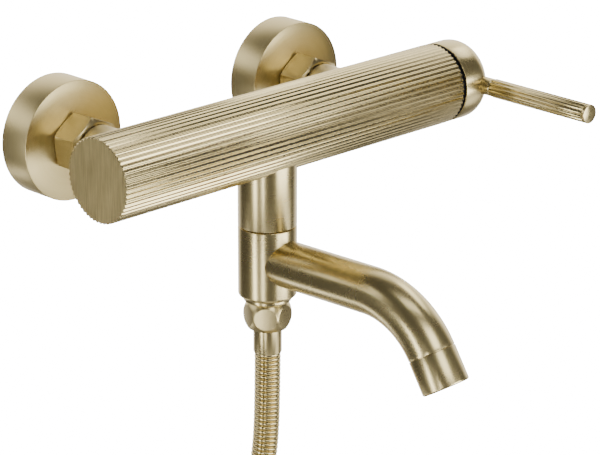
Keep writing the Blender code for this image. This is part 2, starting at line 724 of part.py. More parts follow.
def build_spout(finishes, spout_axis):
    """Everything that swivels: barrel, diverter sleeve, spigot, spout tube and aerator."""
    gold = finishes["brushed_gold"]
    lip = POST_RADIUS + 0.4 * MM
    top = STEM_BOTTOM - 0.4 * MM
    barrel_profile = [
        (BARREL_BORE, top),
        (STEM_RADIUS - 0.5 * MM, top),
        (STEM_RADIUS, top - 0.5 * MM),
        (STEM_RADIUS, BARREL_BOTTOM + 2 * MM),
        (STEM_RADIUS - 0.6 * MM, BARREL_BOTTOM + 0.7 * MM),
        (STEM_RADIUS - 1.8 * MM, BARREL_BOTTOM),
        (lip, BARREL_BOTTOM),
        (lip, BARREL_BOTTOM + 2 * MM),
        (BARREL_BORE, BARREL_BOTTOM + 2 * MM),
    ]
    barrel = turned("spout_barrel", barrel_profile, gold, FINE, (0, 0, 0), UPRIGHT, spout_axis)
    level = (0, 0, SPOUT_Z)
    port = rod_cutter("barrel_port", 8.3 * MM, 5 * MM, 20 * MM, level, TOWARDS_ROOM, spout_axis, COARSE)
    combine(barrel, port)

    sleeve_profile = bushing(POST_RADIUS + GAP, BARREL_BORE - GAP, -75 * MM, -56 * MM)
    plastic = finishes["white_plastic"]
    sleeve = turned("diverter_sleeve", sleeve_profile, plastic, COARSE, (0, 0, 0), UPRIGHT, spout_axis)
    combine(sleeve, rod_cutter("sleeve_port", 5 * MM, 4 * MM, 16 * MM, level, TOWARDS_ROOM, spout_axis, 16))

    spigot_profile = [
        (6.2 * MM, 12.6 * MM),
        (8 * MM, 12.6 * MM),
        (8 * MM, 15.4 * MM),
        (9.2 * MM, 15.4 * MM),
        (9.2 * MM, 24 * MM),
        (6.2 * MM, 24 * MM),
    ]
    turned("spout_spigot", spigot_profile, finishes["raw_brass"], COARSE, level, TOWARDS_ROOM, spout_axis)

    build_spout_tube(gold, spout_axis)
    build_aerator(finishes, spout_axis)


def spout_end():
    """Where the bend ends, as (forward, up) from the barrel axis at the spout's level, and its pitch."""
    forward = SPOUT_STRAIGHT + SPOUT_BEND_RADIUS * math.sin(SPOUT_BEND_RAD)
    drop = SPOUT_BEND_RADIUS * (1 - math.cos(SPOUT_BEND_RAD))
    return forward, -drop, SPOUT_BEND_RAD


def build_spout_tube(material, spout_axis):
    """Tube that runs straight out, bends down and ends in the aerator's thread."""
    bend_steps = 7
    stations = [(10 * MM, 0.0, 0.0)]
    for step in range(bend_steps + 1):
        angle = SPOUT_BEND_RAD * step / bend_steps
        forward = SPOUT_STRAIGHT + SPOUT_BEND_RADIUS * math.sin(angle)
        stations.append((forward, -SPOUT_BEND_RADIUS * (1 - math.cos(angle)), angle))
    forward, up, pitch = stations[-1]
    reach = AERATOR_THREAD
    thread_end = (forward + reach * math.cos(pitch), up - reach * math.sin(pitch), pitch)

    def ring(station, radius):
        forward, up, pitch = station
        points = []
        for step in range(MEDIUM):
            angle = 2 * math.pi * step / MEDIUM
            rise = radius * math.sin(angle)
            points.append(
                (
                    radius * math.cos(angle),
                    -forward - rise * math.sin(pitch),
                    SPOUT_Z + up + rise * math.cos(pitch),
                )
            )
        return points

    thread = SPOUT_RADIUS - 1.4 * MM
    rings = [ring(station, SPOUT_RADIUS) for station in stations]
    rings += [ring(stations[-1], thread), ring(thread_end, thread)]
    rings += [ring(thread_end, SPOUT_BORE)]
    rings += [ring(station, SPOUT_BORE) for station in reversed(stations)]
    mesh = lofted_mesh("spout_tube", rings, True)
    spout = add_object("spout_tube", mesh, material, (0, 0, 0), UPRIGHT, spout_axis)
    saddle = rod_cutter(
        "spout_saddle", STEM_RADIUS + GAP, -90 * MM, -40 * MM, (0, 0, 0), UPRIGHT, spout_axis, FINE
    )
    combine(spout, saddle)


def build_aerator(finishes, spout_axis):
    """Sleeve screwed on the spout's end, with the jet former and its seal inside."""
    forward, up, pitch = spout_end()
    place = (0, -forward, SPOUT_Z + up)
    facing = (math.pi / 2 + pitch, 0, 0)
    outer = SPOUT_RADIUS + 0.1 * MM
    length = AERATOR_LENGTH
    step = AERATOR_THREAD + 0.4 * MM
    sleeve = [
        (SPOUT_RADIUS - 1.1 * MM, GAP),
        (outer - 0.2 * MM, GAP),
        (outer, GAP + 0.2 * MM),
        (outer, length - 0.9 * MM),
        (outer - 0.3 * MM, length - 0.3 * MM),
        (outer - 1 * MM, length),
        (9.6 * MM, length),
        (9.6 * MM, step),
        (SPOUT_RADIUS - 1.1 * MM, step),
    ]
    turned("aerator_sleeve", sleeve, finishes["brushed_gold"], MEDIUM, place, facing, spout_axis)
    front = length - 1 * MM
    former = [(0, front - 9 * MM), (9.3 * MM, front - 9 * MM), (9.3 * MM, front), (0, front)]
    turned("jet_former", former, finishes["white_plastic"], COARSE, place, facing, spout_axis)
    seal = bushing(6.4 * MM, 9.2 * MM, front - 10.9 * MM, front - 9 * MM - GAP)
    turned("aerator_seal", seal, finishes["rubber"], COARSE, place, facing, spout_axis)


# --- Shower hose --------------------------------------------------------------
def build_hose_fittings(finishes):
    """Coined hose nut, washer and ferrule under the swivel post."""
    place = (STEM_X, BODY_Y, 0)
    gold = finishes["brushed_gold"]
    outline = hexagon(HOSE_NUT_ACROSS_FLATS, HOSE_NUT_TURN - 60)
    mesh = prism_mesh("hose_nut", outline, HOSE_NUT_BOTTOM, HOSE_NUT_TOP)
    nut = add_object("hose_nut", mesh, gold, place)
    middle = (HOSE_NUT_TOP + HOSE_NUT_BOTTOM) / 2
    half = (HOSE_NUT_TOP - HOSE_NUT_BOTTOM) / 2
    form = [(0, HOSE_NUT_BOTTOM - 1 * MM)]
    swell = 2.4 * MM
    steps = 8
    for step in range(steps + 1):
        share = 2 * step / steps - 1
        form.append((HOSE_NUT_RADIUS - swell * share**2, middle + half * share * 1.02))
    form.append((0, HOSE_NUT_TOP + 1 * MM))
    combine(nut, cutter("hose_nut_form", turned_mesh("hose_nut_form", form, FINE), place), "INTERSECT")
    lip = HOSE_NUT_BOTTOM + 1.2 * MM
    bore = [
        (0, HOSE_NUT_BOTTOM - 1 * MM),
        (FERRULE_RADIUS + GAP, HOSE_NUT_BOTTOM - 1 * MM),
        (FERRULE_RADIUS + GAP, lip),
        (POST_RADIUS + 0.4 * MM, lip),
        (POST_RADIUS + 0.4 * MM, HOSE_NUT_TOP + 1 * MM),
        (0, HOSE_NUT_TOP + 1 * MM),
    ]
    combine(nut, cutter("hose_nut_bore", turned_mesh("hose_nut_bore", bore, COARSE), place))

    washer_bottom = POST_BOTTOM - GAP - 1.6 * MM
    washer = bushing(5 * MM, POST_RADIUS, washer_bottom, POST_BOTTOM - GAP)
    turned("hose_washer", washer, finishes["rubber"], COARSE, place)
    collar = washer_bottom - GAP
    ferrule = [
        (4 * MM, collar),
        (POST_RADIUS, collar),
        (POST_RADIUS, lip + GAP),
        (FERRULE_RADIUS, lip + GAP),
        (FERRULE_RADIUS, FERRULE_BOTTOM),
        (4 * MM, FERRULE_BOTTOM),
    ]
    turned("hose_ferrule", ferrule, gold, COARSE, place)


def build_hose(finishes):
    """The hanging hose, its spare length tied in a coil, and the fittings on its far end."""
    gold = finishes["brushed_gold"]
    centre_x, centre_z = COIL_CENTRE
    width = COIL_TURNS * COIL_PITCH + 2 * HOSE_RADIUS
    back = BODY_Y + HOSE_RADIUS
    middle_y = back - width / 2
    outer = COIL_TURN_RADIUS + HOSE_RADIUS + 0.25 * MM
    inner = COIL_TURN_RADIUS - HOSE_RADIUS - 0.25 * MM

    route = [Vector((x, BODY_Y, z)) for x, z in HOSE_ROUTE]
    hub = Vector((centre_x, BODY_Y, centre_z))
    clear = outer + HOSE_RADIUS + GAP
    points = [point for point in smooth_route(route, 5 * MM) if (point - hub).length > clear]
    points = smooth_route(points, 2.2 * HOSE_RADIUS)
    curve = bpy.data.curves.new("hose_tube", "CURVE")
    curve.dimensions = "3D"
    curve.bevel_depth = HOSE_RADIUS
    curve.bevel_resolution = 3
    curve.use_fill_caps = True
    spline = curve.splines.new("POLY")
    spline.points.add(len(points) - 1)
    for node, point in zip(spline.points, points):
        node.co = (*point, 1.0)
    add_object("hose_tube", curve, finishes["brushed_gold"])

    corner = 4 * MM
    half = width / 2 + 0.1 * MM
    section = [
        (inner, -half + corner),
        (inner + corner, -half),
        (outer - corner, -half),
        (outer, -half + corner),
        (outer, half - corner),
        (outer - corner, half),
        (inner + corner, half),
        (inner, half - corner),
    ]
    turned("hose_coil", section, gold, FINE, (centre_x, middle_y, centre_z), TOWARDS_ROOM)

    tie_width = 12 * MM
    strap = 1.2 * MM
    loop = [
        (inner - GAP, -half + corner),
        (inner + corner, -half - GAP),
        (outer - corner, -half - GAP),
        (outer + GAP, -half + corner),
        (outer + GAP, half - corner),
        (outer - corner, half + GAP),
        (inner + corner, half + GAP),
        (inner - GAP, half - corner),
    ]
    middle = (inner + outer) / 2

    def strap_ring(spread, z):
        ring = []
        for radius, across in loop:
            side = math.copysign(1.0, radius - middle)
            lift = math.copysign(1.0, across)
            ring.append((radius + side * spread, across + lift * spread, z))
        return ring

    spacing = 0.8 * MM
    rings = [
        strap_ring(spacing, -tie_width / 2),
        strap_ring(spacing + strap, -tie_width / 2),
        strap_ring(spacing + strap, tie_width / 2),
        strap_ring(spacing, tie_width / 2),
    ]
    tie = lofted_mesh("coil_tie", rings, True)
    add_object("coil_tie", tie, finishes["black_plastic"], (centre_x, middle_y, centre_z))

    tail_x = centre_x - COIL_TURN_RADIUS
    tail_y = BODY_Y - COIL_TURNS * COIL_PITCH
    top = centre_z - TAIL_DROP
    ferrule = bushing(4 * MM, FERRULE_RADIUS, -28 * MM, 0)
    turned("far_ferrule", ferrule, gold, COARSE, (tail_x, tail_y, top))
    cone = [
        (4 * MM, -28 * MM - GAP),
        (FERRULE_RADIUS + 0.6 * MM, -28 * MM - GAP),
        (12 * MM, -46 * MM),
        (12 * MM, -50 * MM),
        (9 * MM, -50 * MM),
        (9 * MM, -38 * MM),
        (4 * MM, -38 * MM),
    ]
    turned("far_nut", cone, gold, COARSE, (tail_x, tail_y, top))


# --- Assembly -----------------------------------------------------------------
def add_axis(name, location, turn=0.0, parent=None):
    """An empty that stands on a joint's axis."""
    empty = bpy.data.objects.new(name, None)
    bpy.context.scene.collection.objects.link(empty)
    empty.location = location
    empty.rotation_euler = (0, 0, math.radians(turn))
    empty.parent = parent
    return empty


def main():
    clear_scene()
    finishes = make_materials()
    for side, x in (("left", -INLET_X), ("right", INLET_X)):
        build_inlet(side, x, finishes)
    build_body(finishes)
    build_cartridge_body(finishes)
    turn_axis = add_axis("temperature_axis", (TILT_PIVOT, BODY_Y, 0))
    tilt_axis = add_axis("flow_axis", (0, 0, 0), 0.0, turn_axis)
    build_rotor(finishes, turn_axis)
    build_hub(finishes, tilt_axis)
    build_lever(finishes, tilt_axis)
    build_stem(finishes)
    spout_axis = add_axis("spout_axis", (STEM_X, BODY_Y, 0), SPOUT_SWIVEL)
    build_spout(finishes, spout_axis)
    build_hose_fittings(finishes)
    build_hose(finishes)


main()
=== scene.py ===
"""The look of a wall mounted bath mixer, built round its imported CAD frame.

Metres, +X along the body towards the lever, +Y into the wall, +Z up.  The
origin is on the finished wall, midway between the two water inlets.
"""

import json
import logging
import math
from collections.abc import Callable, Sequence
from dataclasses import dataclass, field
from enum import Enum

import bmesh
import bpy
from mathutils import Matrix, Vector

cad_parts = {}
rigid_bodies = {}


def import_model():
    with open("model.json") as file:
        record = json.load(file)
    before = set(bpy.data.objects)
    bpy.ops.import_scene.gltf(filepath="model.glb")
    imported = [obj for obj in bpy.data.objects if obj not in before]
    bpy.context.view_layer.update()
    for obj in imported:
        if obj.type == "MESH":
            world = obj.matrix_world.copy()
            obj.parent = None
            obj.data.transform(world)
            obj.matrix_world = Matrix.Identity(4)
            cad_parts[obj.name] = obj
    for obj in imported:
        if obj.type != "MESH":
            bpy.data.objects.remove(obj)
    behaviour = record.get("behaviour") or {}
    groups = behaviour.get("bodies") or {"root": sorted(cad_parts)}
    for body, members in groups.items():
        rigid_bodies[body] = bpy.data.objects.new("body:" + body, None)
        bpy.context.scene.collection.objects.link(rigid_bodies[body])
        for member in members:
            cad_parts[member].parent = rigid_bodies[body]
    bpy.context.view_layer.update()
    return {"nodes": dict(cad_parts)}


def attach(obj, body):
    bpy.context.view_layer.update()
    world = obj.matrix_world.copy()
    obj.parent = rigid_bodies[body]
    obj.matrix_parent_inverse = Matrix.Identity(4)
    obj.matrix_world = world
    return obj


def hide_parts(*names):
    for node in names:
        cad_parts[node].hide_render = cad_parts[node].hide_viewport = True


MM = 0.001
# Vertices nearer than this are one.
MERGE = 0.001 * MM
# The cosine past which a face counts as flat on to a direction.
FLAT_ON = 0.9
LOG = logging.getLogger("bath_mixer")

BODY_Y = -72.5 * MM
STEM_X = 1.5 * MM
SPOUT_SWIVEL = math.radians(3.5)

Profile = Sequence[tuple[float, float]]


# --- Placing ------------------------------------------------------------------
def towards_room(x: float = 0.0, y: float = 0.0, z: float = 0.0) -> Matrix:
    """Turn a piece made along +Z to run towards the room, then move it.

    Args:
        x: Place across the wall.
        y: Place from the wall.
        z: Height.

    Returns:
        The matrix that sets the piece in place.
    """
    return Matrix.Translation((x, y, z)) @ Matrix.Rotation(math.pi / 2, 4, "X")


def along_body(x: float = 0.0) -> Matrix:
    """Turn a piece made along +Z to run along the body's axis.

    Args:
        x: How far along the body it is moved.

    Returns:
        The matrix that sets the piece in place.
    """
    return Matrix.Translation((x, BODY_Y, 0)) @ Matrix.Rotation(math.pi / 2, 4, "Y")


def under_stem() -> Matrix:
    """Return the place of a piece made upright on the stem's axis."""
    return Matrix.Translation((STEM_X, BODY_Y, 0))


def on_spout() -> Matrix:
    """Return the place of a piece made in the spout's own frame, which stands a little to the right."""
    return under_stem() @ Matrix.Rotation(SPOUT_SWIVEL, 4, "Z")


# --- Bench tools --------------------------------------------------------------
class Carving(Enum):
    """What a tool does to the piece that it meets."""

    CUT = "DIFFERENCE"
    TRIM = "INTERSECT"


def pick(piece: bpy.types.Object) -> None:
    """Select one piece alone and make it active."""
    bpy.ops.object.select_all(action="DESELECT")
    piece.select_set(True)
    bpy.context.view_layer.objects.active = piece


def take_new(name: str) -> bpy.types.Object:
    """Name the primitive that was just added, put its place into its mesh and return it."""
    piece = bpy.context.active_object
    piece.name = name
    piece.data.name = name
    pick(piece)
    bpy.ops.object.transform_apply(location=True, rotation=True, scale=True)
    return piece


def start_edit(piece: bpy.types.Object) -> None:
    """Open one piece in edit mode with all of it selected."""
    pick(piece)
    bpy.ops.object.mode_set(mode="EDIT")
    bpy.ops.mesh.select_mode(type="VERT")
    bpy.ops.mesh.select_all(action="SELECT")


def end_edit() -> None:
    """Leave edit mode."""
    bpy.ops.object.mode_set(mode="OBJECT")


def choose(piece: bpy.types.Object, rule: Callable[[bmesh.types.BMVert], bool]) -> None:
    """Select the vertices of an open piece that a rule accepts.

    Args:
        piece: The piece in edit mode.
        rule: Says of each vertex whether it is chosen.
    """
    bpy.ops.mesh.select_all(action="DESELECT")
    shape = bmesh.from_edit_mesh(piece.data)
    shape.verts.index_update()
    for vertex in shape.verts:
        vertex.select_set(rule(vertex))
    shape.select_flush(True)
    bmesh.update_edit_mesh(piece.data)


def close_up() -> None:
    """Merge the doubles of the open piece and turn its faces outwards."""
    bpy.ops.mesh.select_all(action="SELECT")
    bpy.ops.mesh.remove_doubles(threshold=MERGE)
    bpy.ops.mesh.normals_make_consistent(inside=False)


def grow_ring(height: float, factor: float = 1.0) -> None:
    """Extrude the selected ring upwards and scale it about its own centre.

    Args:
        height: How far it goes along Z.
        factor: Its new radius over its old one.
    """
    bpy.ops.mesh.extrude_region_move(TRANSFORM_OT_translate={"value": (0, 0, height)})
    if factor != 1.0:
        bpy.ops.transform.resize(value=(factor, factor, 1))


def turn_on_lathe(name: str, section: Profile, steps: int = 96) -> bpy.types.Object:
    """Draw a half section corner by corner and spin it round Z.

    Args:
        name: The piece's name.
        section: Corners as (radius, height).  It is closed on itself unless both ends are on the axis.
        steps: Facets round the piece.

    Returns:
        The turned piece, upright on the origin.
    """
    corners = list(section)
    if corners[0][0] > 0 or corners[-1][0] > 0:
        corners.append(corners[0])
    bpy.ops.mesh.primitive_plane_add(size=MM)
    piece = take_new(name)
    start_edit(piece)
    bpy.ops.mesh.merge(type="CENTER")
    bpy.ops.transform.translate(value=(corners[0][0], 0, corners[0][1]))
    for here, there in zip(corners, corners[1:]):
        step = (there[0] - here[0], 0, there[1] - here[1])
        bpy.ops.mesh.extrude_region_move(TRANSFORM_OT_translate={"value": step})
    bpy.ops.mesh.select_all(action="SELECT")
    bpy.ops.mesh.remove_doubles(threshold=MERGE)
    bpy.ops.mesh.spin(steps=steps, angle=math.tau, center=(0, 0, 0), axis=(0, 0, 1))
    close_up()
    end_edit()
    return piece


def modify(piece: bpy.types.Object, kind: str, settings: dict[str, object]) -> None:
    """Put a modifier on a piece with its settings, and apply it.

    Args:
        piece: The piece that is shaped.
        kind: The modifier's type.
        settings: Its properties by name.
    """
    modifier = piece.modifiers.new(kind.lower(), kind)
    for name, setting in settings.items():
        setattr(modifier, name, setting)
    pick(piece)
    bpy.ops.object.modifier_apply(modifier=modifier.name)


def carve(piece: bpy.types.Object, tool: bpy.types.Object, how: Carving = Carving.CUT) -> None:
    """Cut or trim a piece with a tool, which is used up.

    Args:
        piece: The piece that is shaped.
        tool: The closed shape that meets it.
        how: Whether the tool is taken away or kept.
    """
    modify(piece, "BOOLEAN", {"operation": how.value, "solver": "EXACT", "object": tool})
    bpy.data.objects.remove(tool)


def break_edges(piece: bpy.types.Object, width: float, segments: int = 3, angle: float = 32.0) -> None:
    """Round the sharp edges of a piece.

    Args:
        piece: The piece that is finished.
        width: Width of the rounding.
        segments: Facets across it.
        angle: Edges sharper than this many degrees are rounded.
    """
    limit = {"limit_method": "ANGLE", "angle_limit": math.radians(angle)}
    modify(piece, "BEVEL", {"width": width, "segments": segments, **limit})


def set_in_place(piece: bpy.types.Object, place: Matrix, smooth: float = 30.0) -> None:
    """Shade a piece smooth and put its place into its mesh.

    Args:
        piece: The finished piece, still at the origin.
        place: Where it goes.
        smooth: Edges sharper than this many degrees stay crisp.
    """
    pick(piece)
    bpy.ops.object.shade_smooth_by_angle(angle=math.radians(smooth))
    piece.matrix_world = place
    bpy.ops.object.transform_apply(location=True, rotation=True, scale=True)


def saw_hexagon(name: str, across_flats: float, low: float, high: float, turn: float) -> bpy.types.Object:
    """Saw a length off a hexagon bar.

    Args:
        name: The piece's name.
        across_flats: Width over its flats.
        low: Height of its lower end.
        high: Height of its upper end.
        turn: How many degrees it is turned on its axis.

    Returns:
        The sawn length, upright on the origin's axis.
    """
    bpy.ops.mesh.primitive_cylinder_add(
        vertices=6,
        radius=across_flats / 2 / math.cos(math.pi / 6),
        depth=high - low,
        location=(0, 0, (high + low) / 2),
        rotation=(0, 0, math.radians(turn)),
    )
    return take_new(name)


def round_corner(
    centre: tuple[float, float], radius: float, start: float, end: float, steps: int
) -> Profile:
    """Return the points of a rounded corner of a half section.

    Args:
        centre: Its centre as (radius, height).
        radius: The rounding's own radius.
        start: First angle in degrees from the outward direction.
        end: Last angle.
        steps: Facets along it.
    """
    points = []
    for step in range(steps + 1):
        angle = math.radians(start + (end - start) * step / steps)
        points.append((centre[0] + radius * math.cos(angle), centre[1] + radius * math.sin(angle)))
    return points


# --- Shader tools -------------------------------------------------------------
def to_linear(colour: str) -> tuple[float, float, float, float]:
    """Turn an sRGB hex colour into linear red, green, blue and full alpha."""
    channels = []
    for start in (1, 3, 5):
        value = int(colour[start : start + 2], 16) / 255
        channels.append(value / 12.92 if value <= 0.04045 else ((value + 0.055) / 1.055) ** 2.4)
    return (channels[0], channels[1], channels[2], 1.0)


def add_node(
    tree: bpy.types.NodeTree,
    kind: str,
    settings: dict[str, object],
    values: dict[str | int, object],
    links: dict[str | int, bpy.types.NodeSocket],
    output: str | int = 0,
) -> bpy.types.NodeSocket:
    """Add a node with its settings and links.

    Args:
        tree: The node tree it goes in.
        kind: The node's type without its ShaderNode prefix.
        settings: Its properties by name.
        values: Values of its unlinked inputs, by name or number.
        links: What feeds its inputs, by name or number.
        output: Which of its outputs is wanted.

    Returns:
        That output.
    """
    node = tree.nodes.new("ShaderNode" + kind)
    for name, setting in settings.items():
        setattr(node, name, setting)
    for socket, value in values.items():
        node.inputs[socket].default_value = value
    for socket, source in links.items():
        tree.links.new(source, node.inputs[socket])
    return node.outputs[output]


def new_material(name: str, metallic: float, roughness: float) -> tuple[bpy.types.Material, bpy.types.Node]:
    """Make a material and return it with its shader.

    Args:
        name: What the surface is and how it was made.
        metallic: 1 for a metal, 0 for anything else.
        roughness: Its value before any pattern is linked.
    """
    material = bpy.data.materials.new(name)
    material.use_nodes = True
    shader = material.node_tree.nodes["Principled BSDF"]
    shader.inputs["Metallic"].default_value = metallic
    shader.inputs["Roughness"].default_value = roughness
    return material, shader


# --- Finishes -----------------------------------------------------------------
# The part of a noise pattern's range that most of it lies in.
NOISE_BAND = {"From Min": 0.3, "From Max": 0.7}
# How large and how strong the slow change of gloss over a metal piece is.
CLOUD_SIZE = 18 * MM
CLOUD_SPREAD = 0.02


class Grain(Enum):
    """Which way the finishing belt went: 1 for each direction across its marks."""

    UPRIGHT = (1.0, 1.0, 0.0)
    ALONG_BODY = (0.0, 1.0, 1.0)
    TOWARDS_ROOM = (1.0, 0.0, 1.0)
    EVEN = (1.0, 1.0, 1.0)


@dataclass(frozen=True)
class BrushedMetal:
    """Coated or bare metal whose belt marks run straight across the piece.

    The marks give the eye fine streaks that break up each reflection.
    """

    name: str
    colour: str
    shade: str
    roughness: float
    grain: Grain = Grain.EVEN
    mark_width: float = 0.9 * MM
    mark_length: float = 20 * MM
    contrast: float = 0.02
    depth: float = 0.0

    def lay_marks(
        self, tree: bpy.types.NodeTree, shader: bpy.types.Node, place: bpy.types.NodeSocket
    ) -> tuple[bpy.types.NodeSocket, float]:
        """Return the place stretched along the marks, and the scale of the noise that draws them.

        Args:
            tree: The material's node tree.
            shader: Its shader; not used here.
            place: Where on the object each point is.
        """
        scale = [1 / self.mark_width if across else 1 / self.mark_length for across in self.grain.value]
        return add_node(tree, "Mapping", {}, {"Scale": scale}, {"Vector": place}), 1.0

    def make(self) -> bpy.types.Material:
        """Build the material and return it."""
        material, shader = new_material(self.name, 1.0, self.roughness)
        tree = material.node_tree
        place = add_node(tree, "TexCoord", {}, {}, {}, "Object")
        laid, scale = self.lay_marks(tree, shader, place)
        fine = {"Scale": scale, "Detail": 3.0, "Roughness": 0.6}
        marks = add_node(tree, "TexNoise", {}, fine, {"Vector": laid})
        slow = {"Scale": 1 / CLOUD_SIZE, "Detail": 2.0, "Roughness": 0.5}
        cloud = add_node(tree, "TexNoise", {}, slow, {"Vector": place})
        full = {**NOISE_BAND, "To Min": 0.0, "To Max": 1.0}
        toned = add_node(tree, "MapRange", {}, full, {"Value": marks})
        tones = {6: to_linear(self.shade), 7: to_linear(self.colour)}
        tint = add_node(tree, "Mix", {"data_type": "RGBA"}, tones, {0: toned}, 2)
        tree.links.new(tint, shader.inputs["Base Color"])
        gloss = []
        for source, middle, spread in ((marks, 0.0, self.contrast), (cloud, self.roughness, CLOUD_SPREAD)):
            ends = {"To Min": middle - spread, "To Max": middle + spread}
            gloss.append(add_node(tree, "MapRange", {}, {**NOISE_BAND, **ends}, {"Value": source}))
        rough = add_node(tree, "Math", {"operation": "ADD", "use_clamp": True}, {}, dict(enumerate(gloss)))
        tree.links.new(rough, shader.inputs["Roughness"])
        if self.depth:
            rise = {"Strength": 0.5, "Distance": self.depth}
            relief = add_node(tree, "Bump", {}, rise, {"Height": marks})
            tree.links.new(relief, shader.inputs["Normal"])
        return material


@dataclass(frozen=True)
class TurnedMetal(BrushedMetal):
    """Metal finished while it spins, so its marks are rings round one axis.

    The rings give the eye even bands on the side of a round piece and a
    record-like sheen on its faces.
    """

    centre: tuple[float, float, float] = (0.0, 0.0, 0.0)
    axis: tuple[float, float, float] = (0.0, 0.0, 1.0)
    stretch: float = 0.3

    def lay_marks(
        self, tree: bpy.types.NodeTree, shader: bpy.types.Node, place: bpy.types.NodeSocket
    ) -> tuple[bpy.types.NodeSocket, float]:
        """Return the radius and the height on the axis, and the scale of the noise that draws the rings.

        Args:
            tree: The material's node tree.
            shader: Its shader, whose sheen is stretched across the rings.
            place: Where on the object each point is.
        """
        across = tuple(1.0 - part for part in self.axis)
        centred = add_node(tree, "VectorMath", {"operation": "SUBTRACT"}, {1: self.centre}, {0: place})
        dot = {"operation": "DOT_PRODUCT"}
        height = add_node(tree, "VectorMath", dot, {1: self.axis}, {0: centred}, "Value")
        flat = add_node(tree, "VectorMath", {"operation": "MULTIPLY"}, {1: across}, {0: centred})
        radius = add_node(tree, "VectorMath", {"operation": "LENGTH"}, {}, {0: flat}, "Value")
        around = add_node(tree, "VectorMath", {"operation": "CROSS_PRODUCT"}, {1: self.axis}, {0: flat})
        tree.links.new(around, shader.inputs["Tangent"])
        shader.inputs["Anisotropic"].default_value = self.stretch
        shader.inputs["Anisotropic Rotation"].default_value = 0.25
        return add_node(tree, "CombineXYZ", {}, {}, {0: radius, 1: height}), 1 / self.mark_width


@dataclass(frozen=True)
class Moulded:
    """Moulded, pressed or sintered material with a fine even skin.

    The skin's speckle takes the hard edge off its reflections.
    """

    name: str
    colour: str
    shade: str
    roughness: float
    speck: float = 0.6 * MM
    depth: float = 0.01 * MM

    def make(self) -> bpy.types.Material:
        """Build the material and return it."""
        material, shader = new_material(self.name, 0.0, self.roughness)
        tree = material.node_tree
        place = add_node(tree, "TexCoord", {}, {}, {}, "Object")
        specks = add_node(tree, "TexNoise", {}, {"Scale": 1 / self.speck, "Detail": 4.0}, {"Vector": place})
        tones = {6: to_linear(self.shade), 7: to_linear(self.colour)}
        tint = add_node(tree, "Mix", {"data_type": "RGBA"}, tones, {0: specks}, 2)
        tree.links.new(tint, shader.inputs["Base Color"])
        relief = add_node(tree, "Bump", {}, {"Strength": 0.4, "Distance": self.depth}, {"Height": specks})
        tree.links.new(relief, shader.inputs["Normal"])
        return material


Finish = BrushedMetal | Moulded


@dataclass
class FinishBook:
    """Makes each finish once, and finishes the pieces with it."""

    made: dict[str, bpy.types.Material] = field(default_factory=dict)

    def get(self, finish: Finish) -> bpy.types.Material:
        """Return the material of a finish, made the first time it is asked for."""
        if finish.name not in self.made:
            self.made[finish.name] = finish.make()
        return self.made[finish.name]

    def dress(self, piece: bpy.types.Object, finish: Finish) -> None:
        """Give a whole piece one finish."""
        piece.data.materials.clear()
        piece.data.materials.append(self.get(finish))

    def dress_faces(
        self, piece: bpy.types.Object, finish: Finish, rule: Callable[[bpy.types.MeshPolygon], bool]
    ) -> None:
        """Give some faces another finish.

        Args:
            piece: A piece that already has its first finish.
            finish: The finish of the faces.
            rule: Says of each face whether it gets it.
        """
        piece.data.materials.append(self.get(finish))
        for face in piece.data.polygons:
            if rule(face):
                face.material_index = len(piece.data.materials) - 1

    def hang(
        self,
        piece: bpy.types.Object,
        place: Matrix,
        smooth: float,
        finish: Finish,
        body: str,
        *nodes: str,
        slot: str = "brushed_gold",
    ) -> None:
        """Set a piece in place, dress it, and let it move with a body instead of its CAD nodes.

        Args:
            piece: The finished piece, still at the origin.
            place: Where it goes.
            smooth: Edges sharper than this many degrees stay crisp.
            finish: Its finish.
            body: The body that it moves with.
            nodes: The CAD nodes that it stands for.
            slot: The name of a material slot; it is not used.
        """
        set_in_place(piece, place, smooth)
        self.dress(piece, finish)
        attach(piece, body)
        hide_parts(*nodes)


GOLD = "#C8B988"
GOLD_SHADE = "#C5B584"
# Coated brass, brushed straight along the reeds: streaks that run with the body.
REED_GOLD = BrushedMetal(
    "pvd_brass_drawn_along_reeds", GOLD, GOLD_SHADE, 0.2, Grain.ALONG_BODY, 0.8 * MM, 60 * MM, 0.01
)
# Coated brass faced on a belt: short upright scratches on the flat ends, in a gold painted lighter than the
# rest as painted light, so the left end reads brighter.
FACED_LIT_GOLD = BrushedMetal(
    "pvd_brass_belt_brushed_upright_painted_light", "#DCCB94", "#C4B27E", 0.48, Grain.UPRIGHT, 0.6 * MM, 14 * MM, 0.05
)
# Coated brass left smoother on nuts, where the wrench flats are fine ground.
NUT_GOLD = BrushedMetal(
    "pvd_brass_ground_flats", GOLD, GOLD_SHADE, 0.3, Grain.TOWARDS_ROOM, 0.8 * MM, 9 * MM
)
# Coated brass, fine brushed along the lever.
LEVER_GOLD = BrushedMetal(
    "pvd_brass_drawn_along_lever", GOLD, GOLD_SHADE, 0.24, Grain.TOWARDS_ROOM, 0.6 * MM
)
# Coated tube, brushed after bending: even soft sheen with hardly any direction.
TUBE_GOLD = BrushedMetal("pvd_brass_satin_tube", GOLD, "#C6B785", 0.27, Grain.EVEN, 6 * MM, contrast=0.005)
# Rolled and interlocked strip, brighter on its crests.
STRIP_GOLD = BrushedMetal(
    "pvd_steel_interlocked_strip", GOLD, GOLD_SHADE, 0.24, Grain.EVEN, 3 * MM, contrast=0.01
)
# Bare machined brass: yellower and duller than the coating.
MACHINED_BRASS = BrushedMetal(
    "bare_brass_machined", "#D5B46A", "#B8934A", 0.38, Grain.EVEN, 0.5 * MM, contrast=0.04, depth=0.002 * MM
)
# Stainless steel pins: grey, with lathe marks too fine to tell apart.
PIN_STEEL = BrushedMetal(
    "stainless_steel_machined",
    "#C4C5C7",
    "#A2A4A6",
    0.3,
    Grain.EVEN,
    0.4 * MM,
    contrast=0.04,
    depth=0.002 * MM,
)
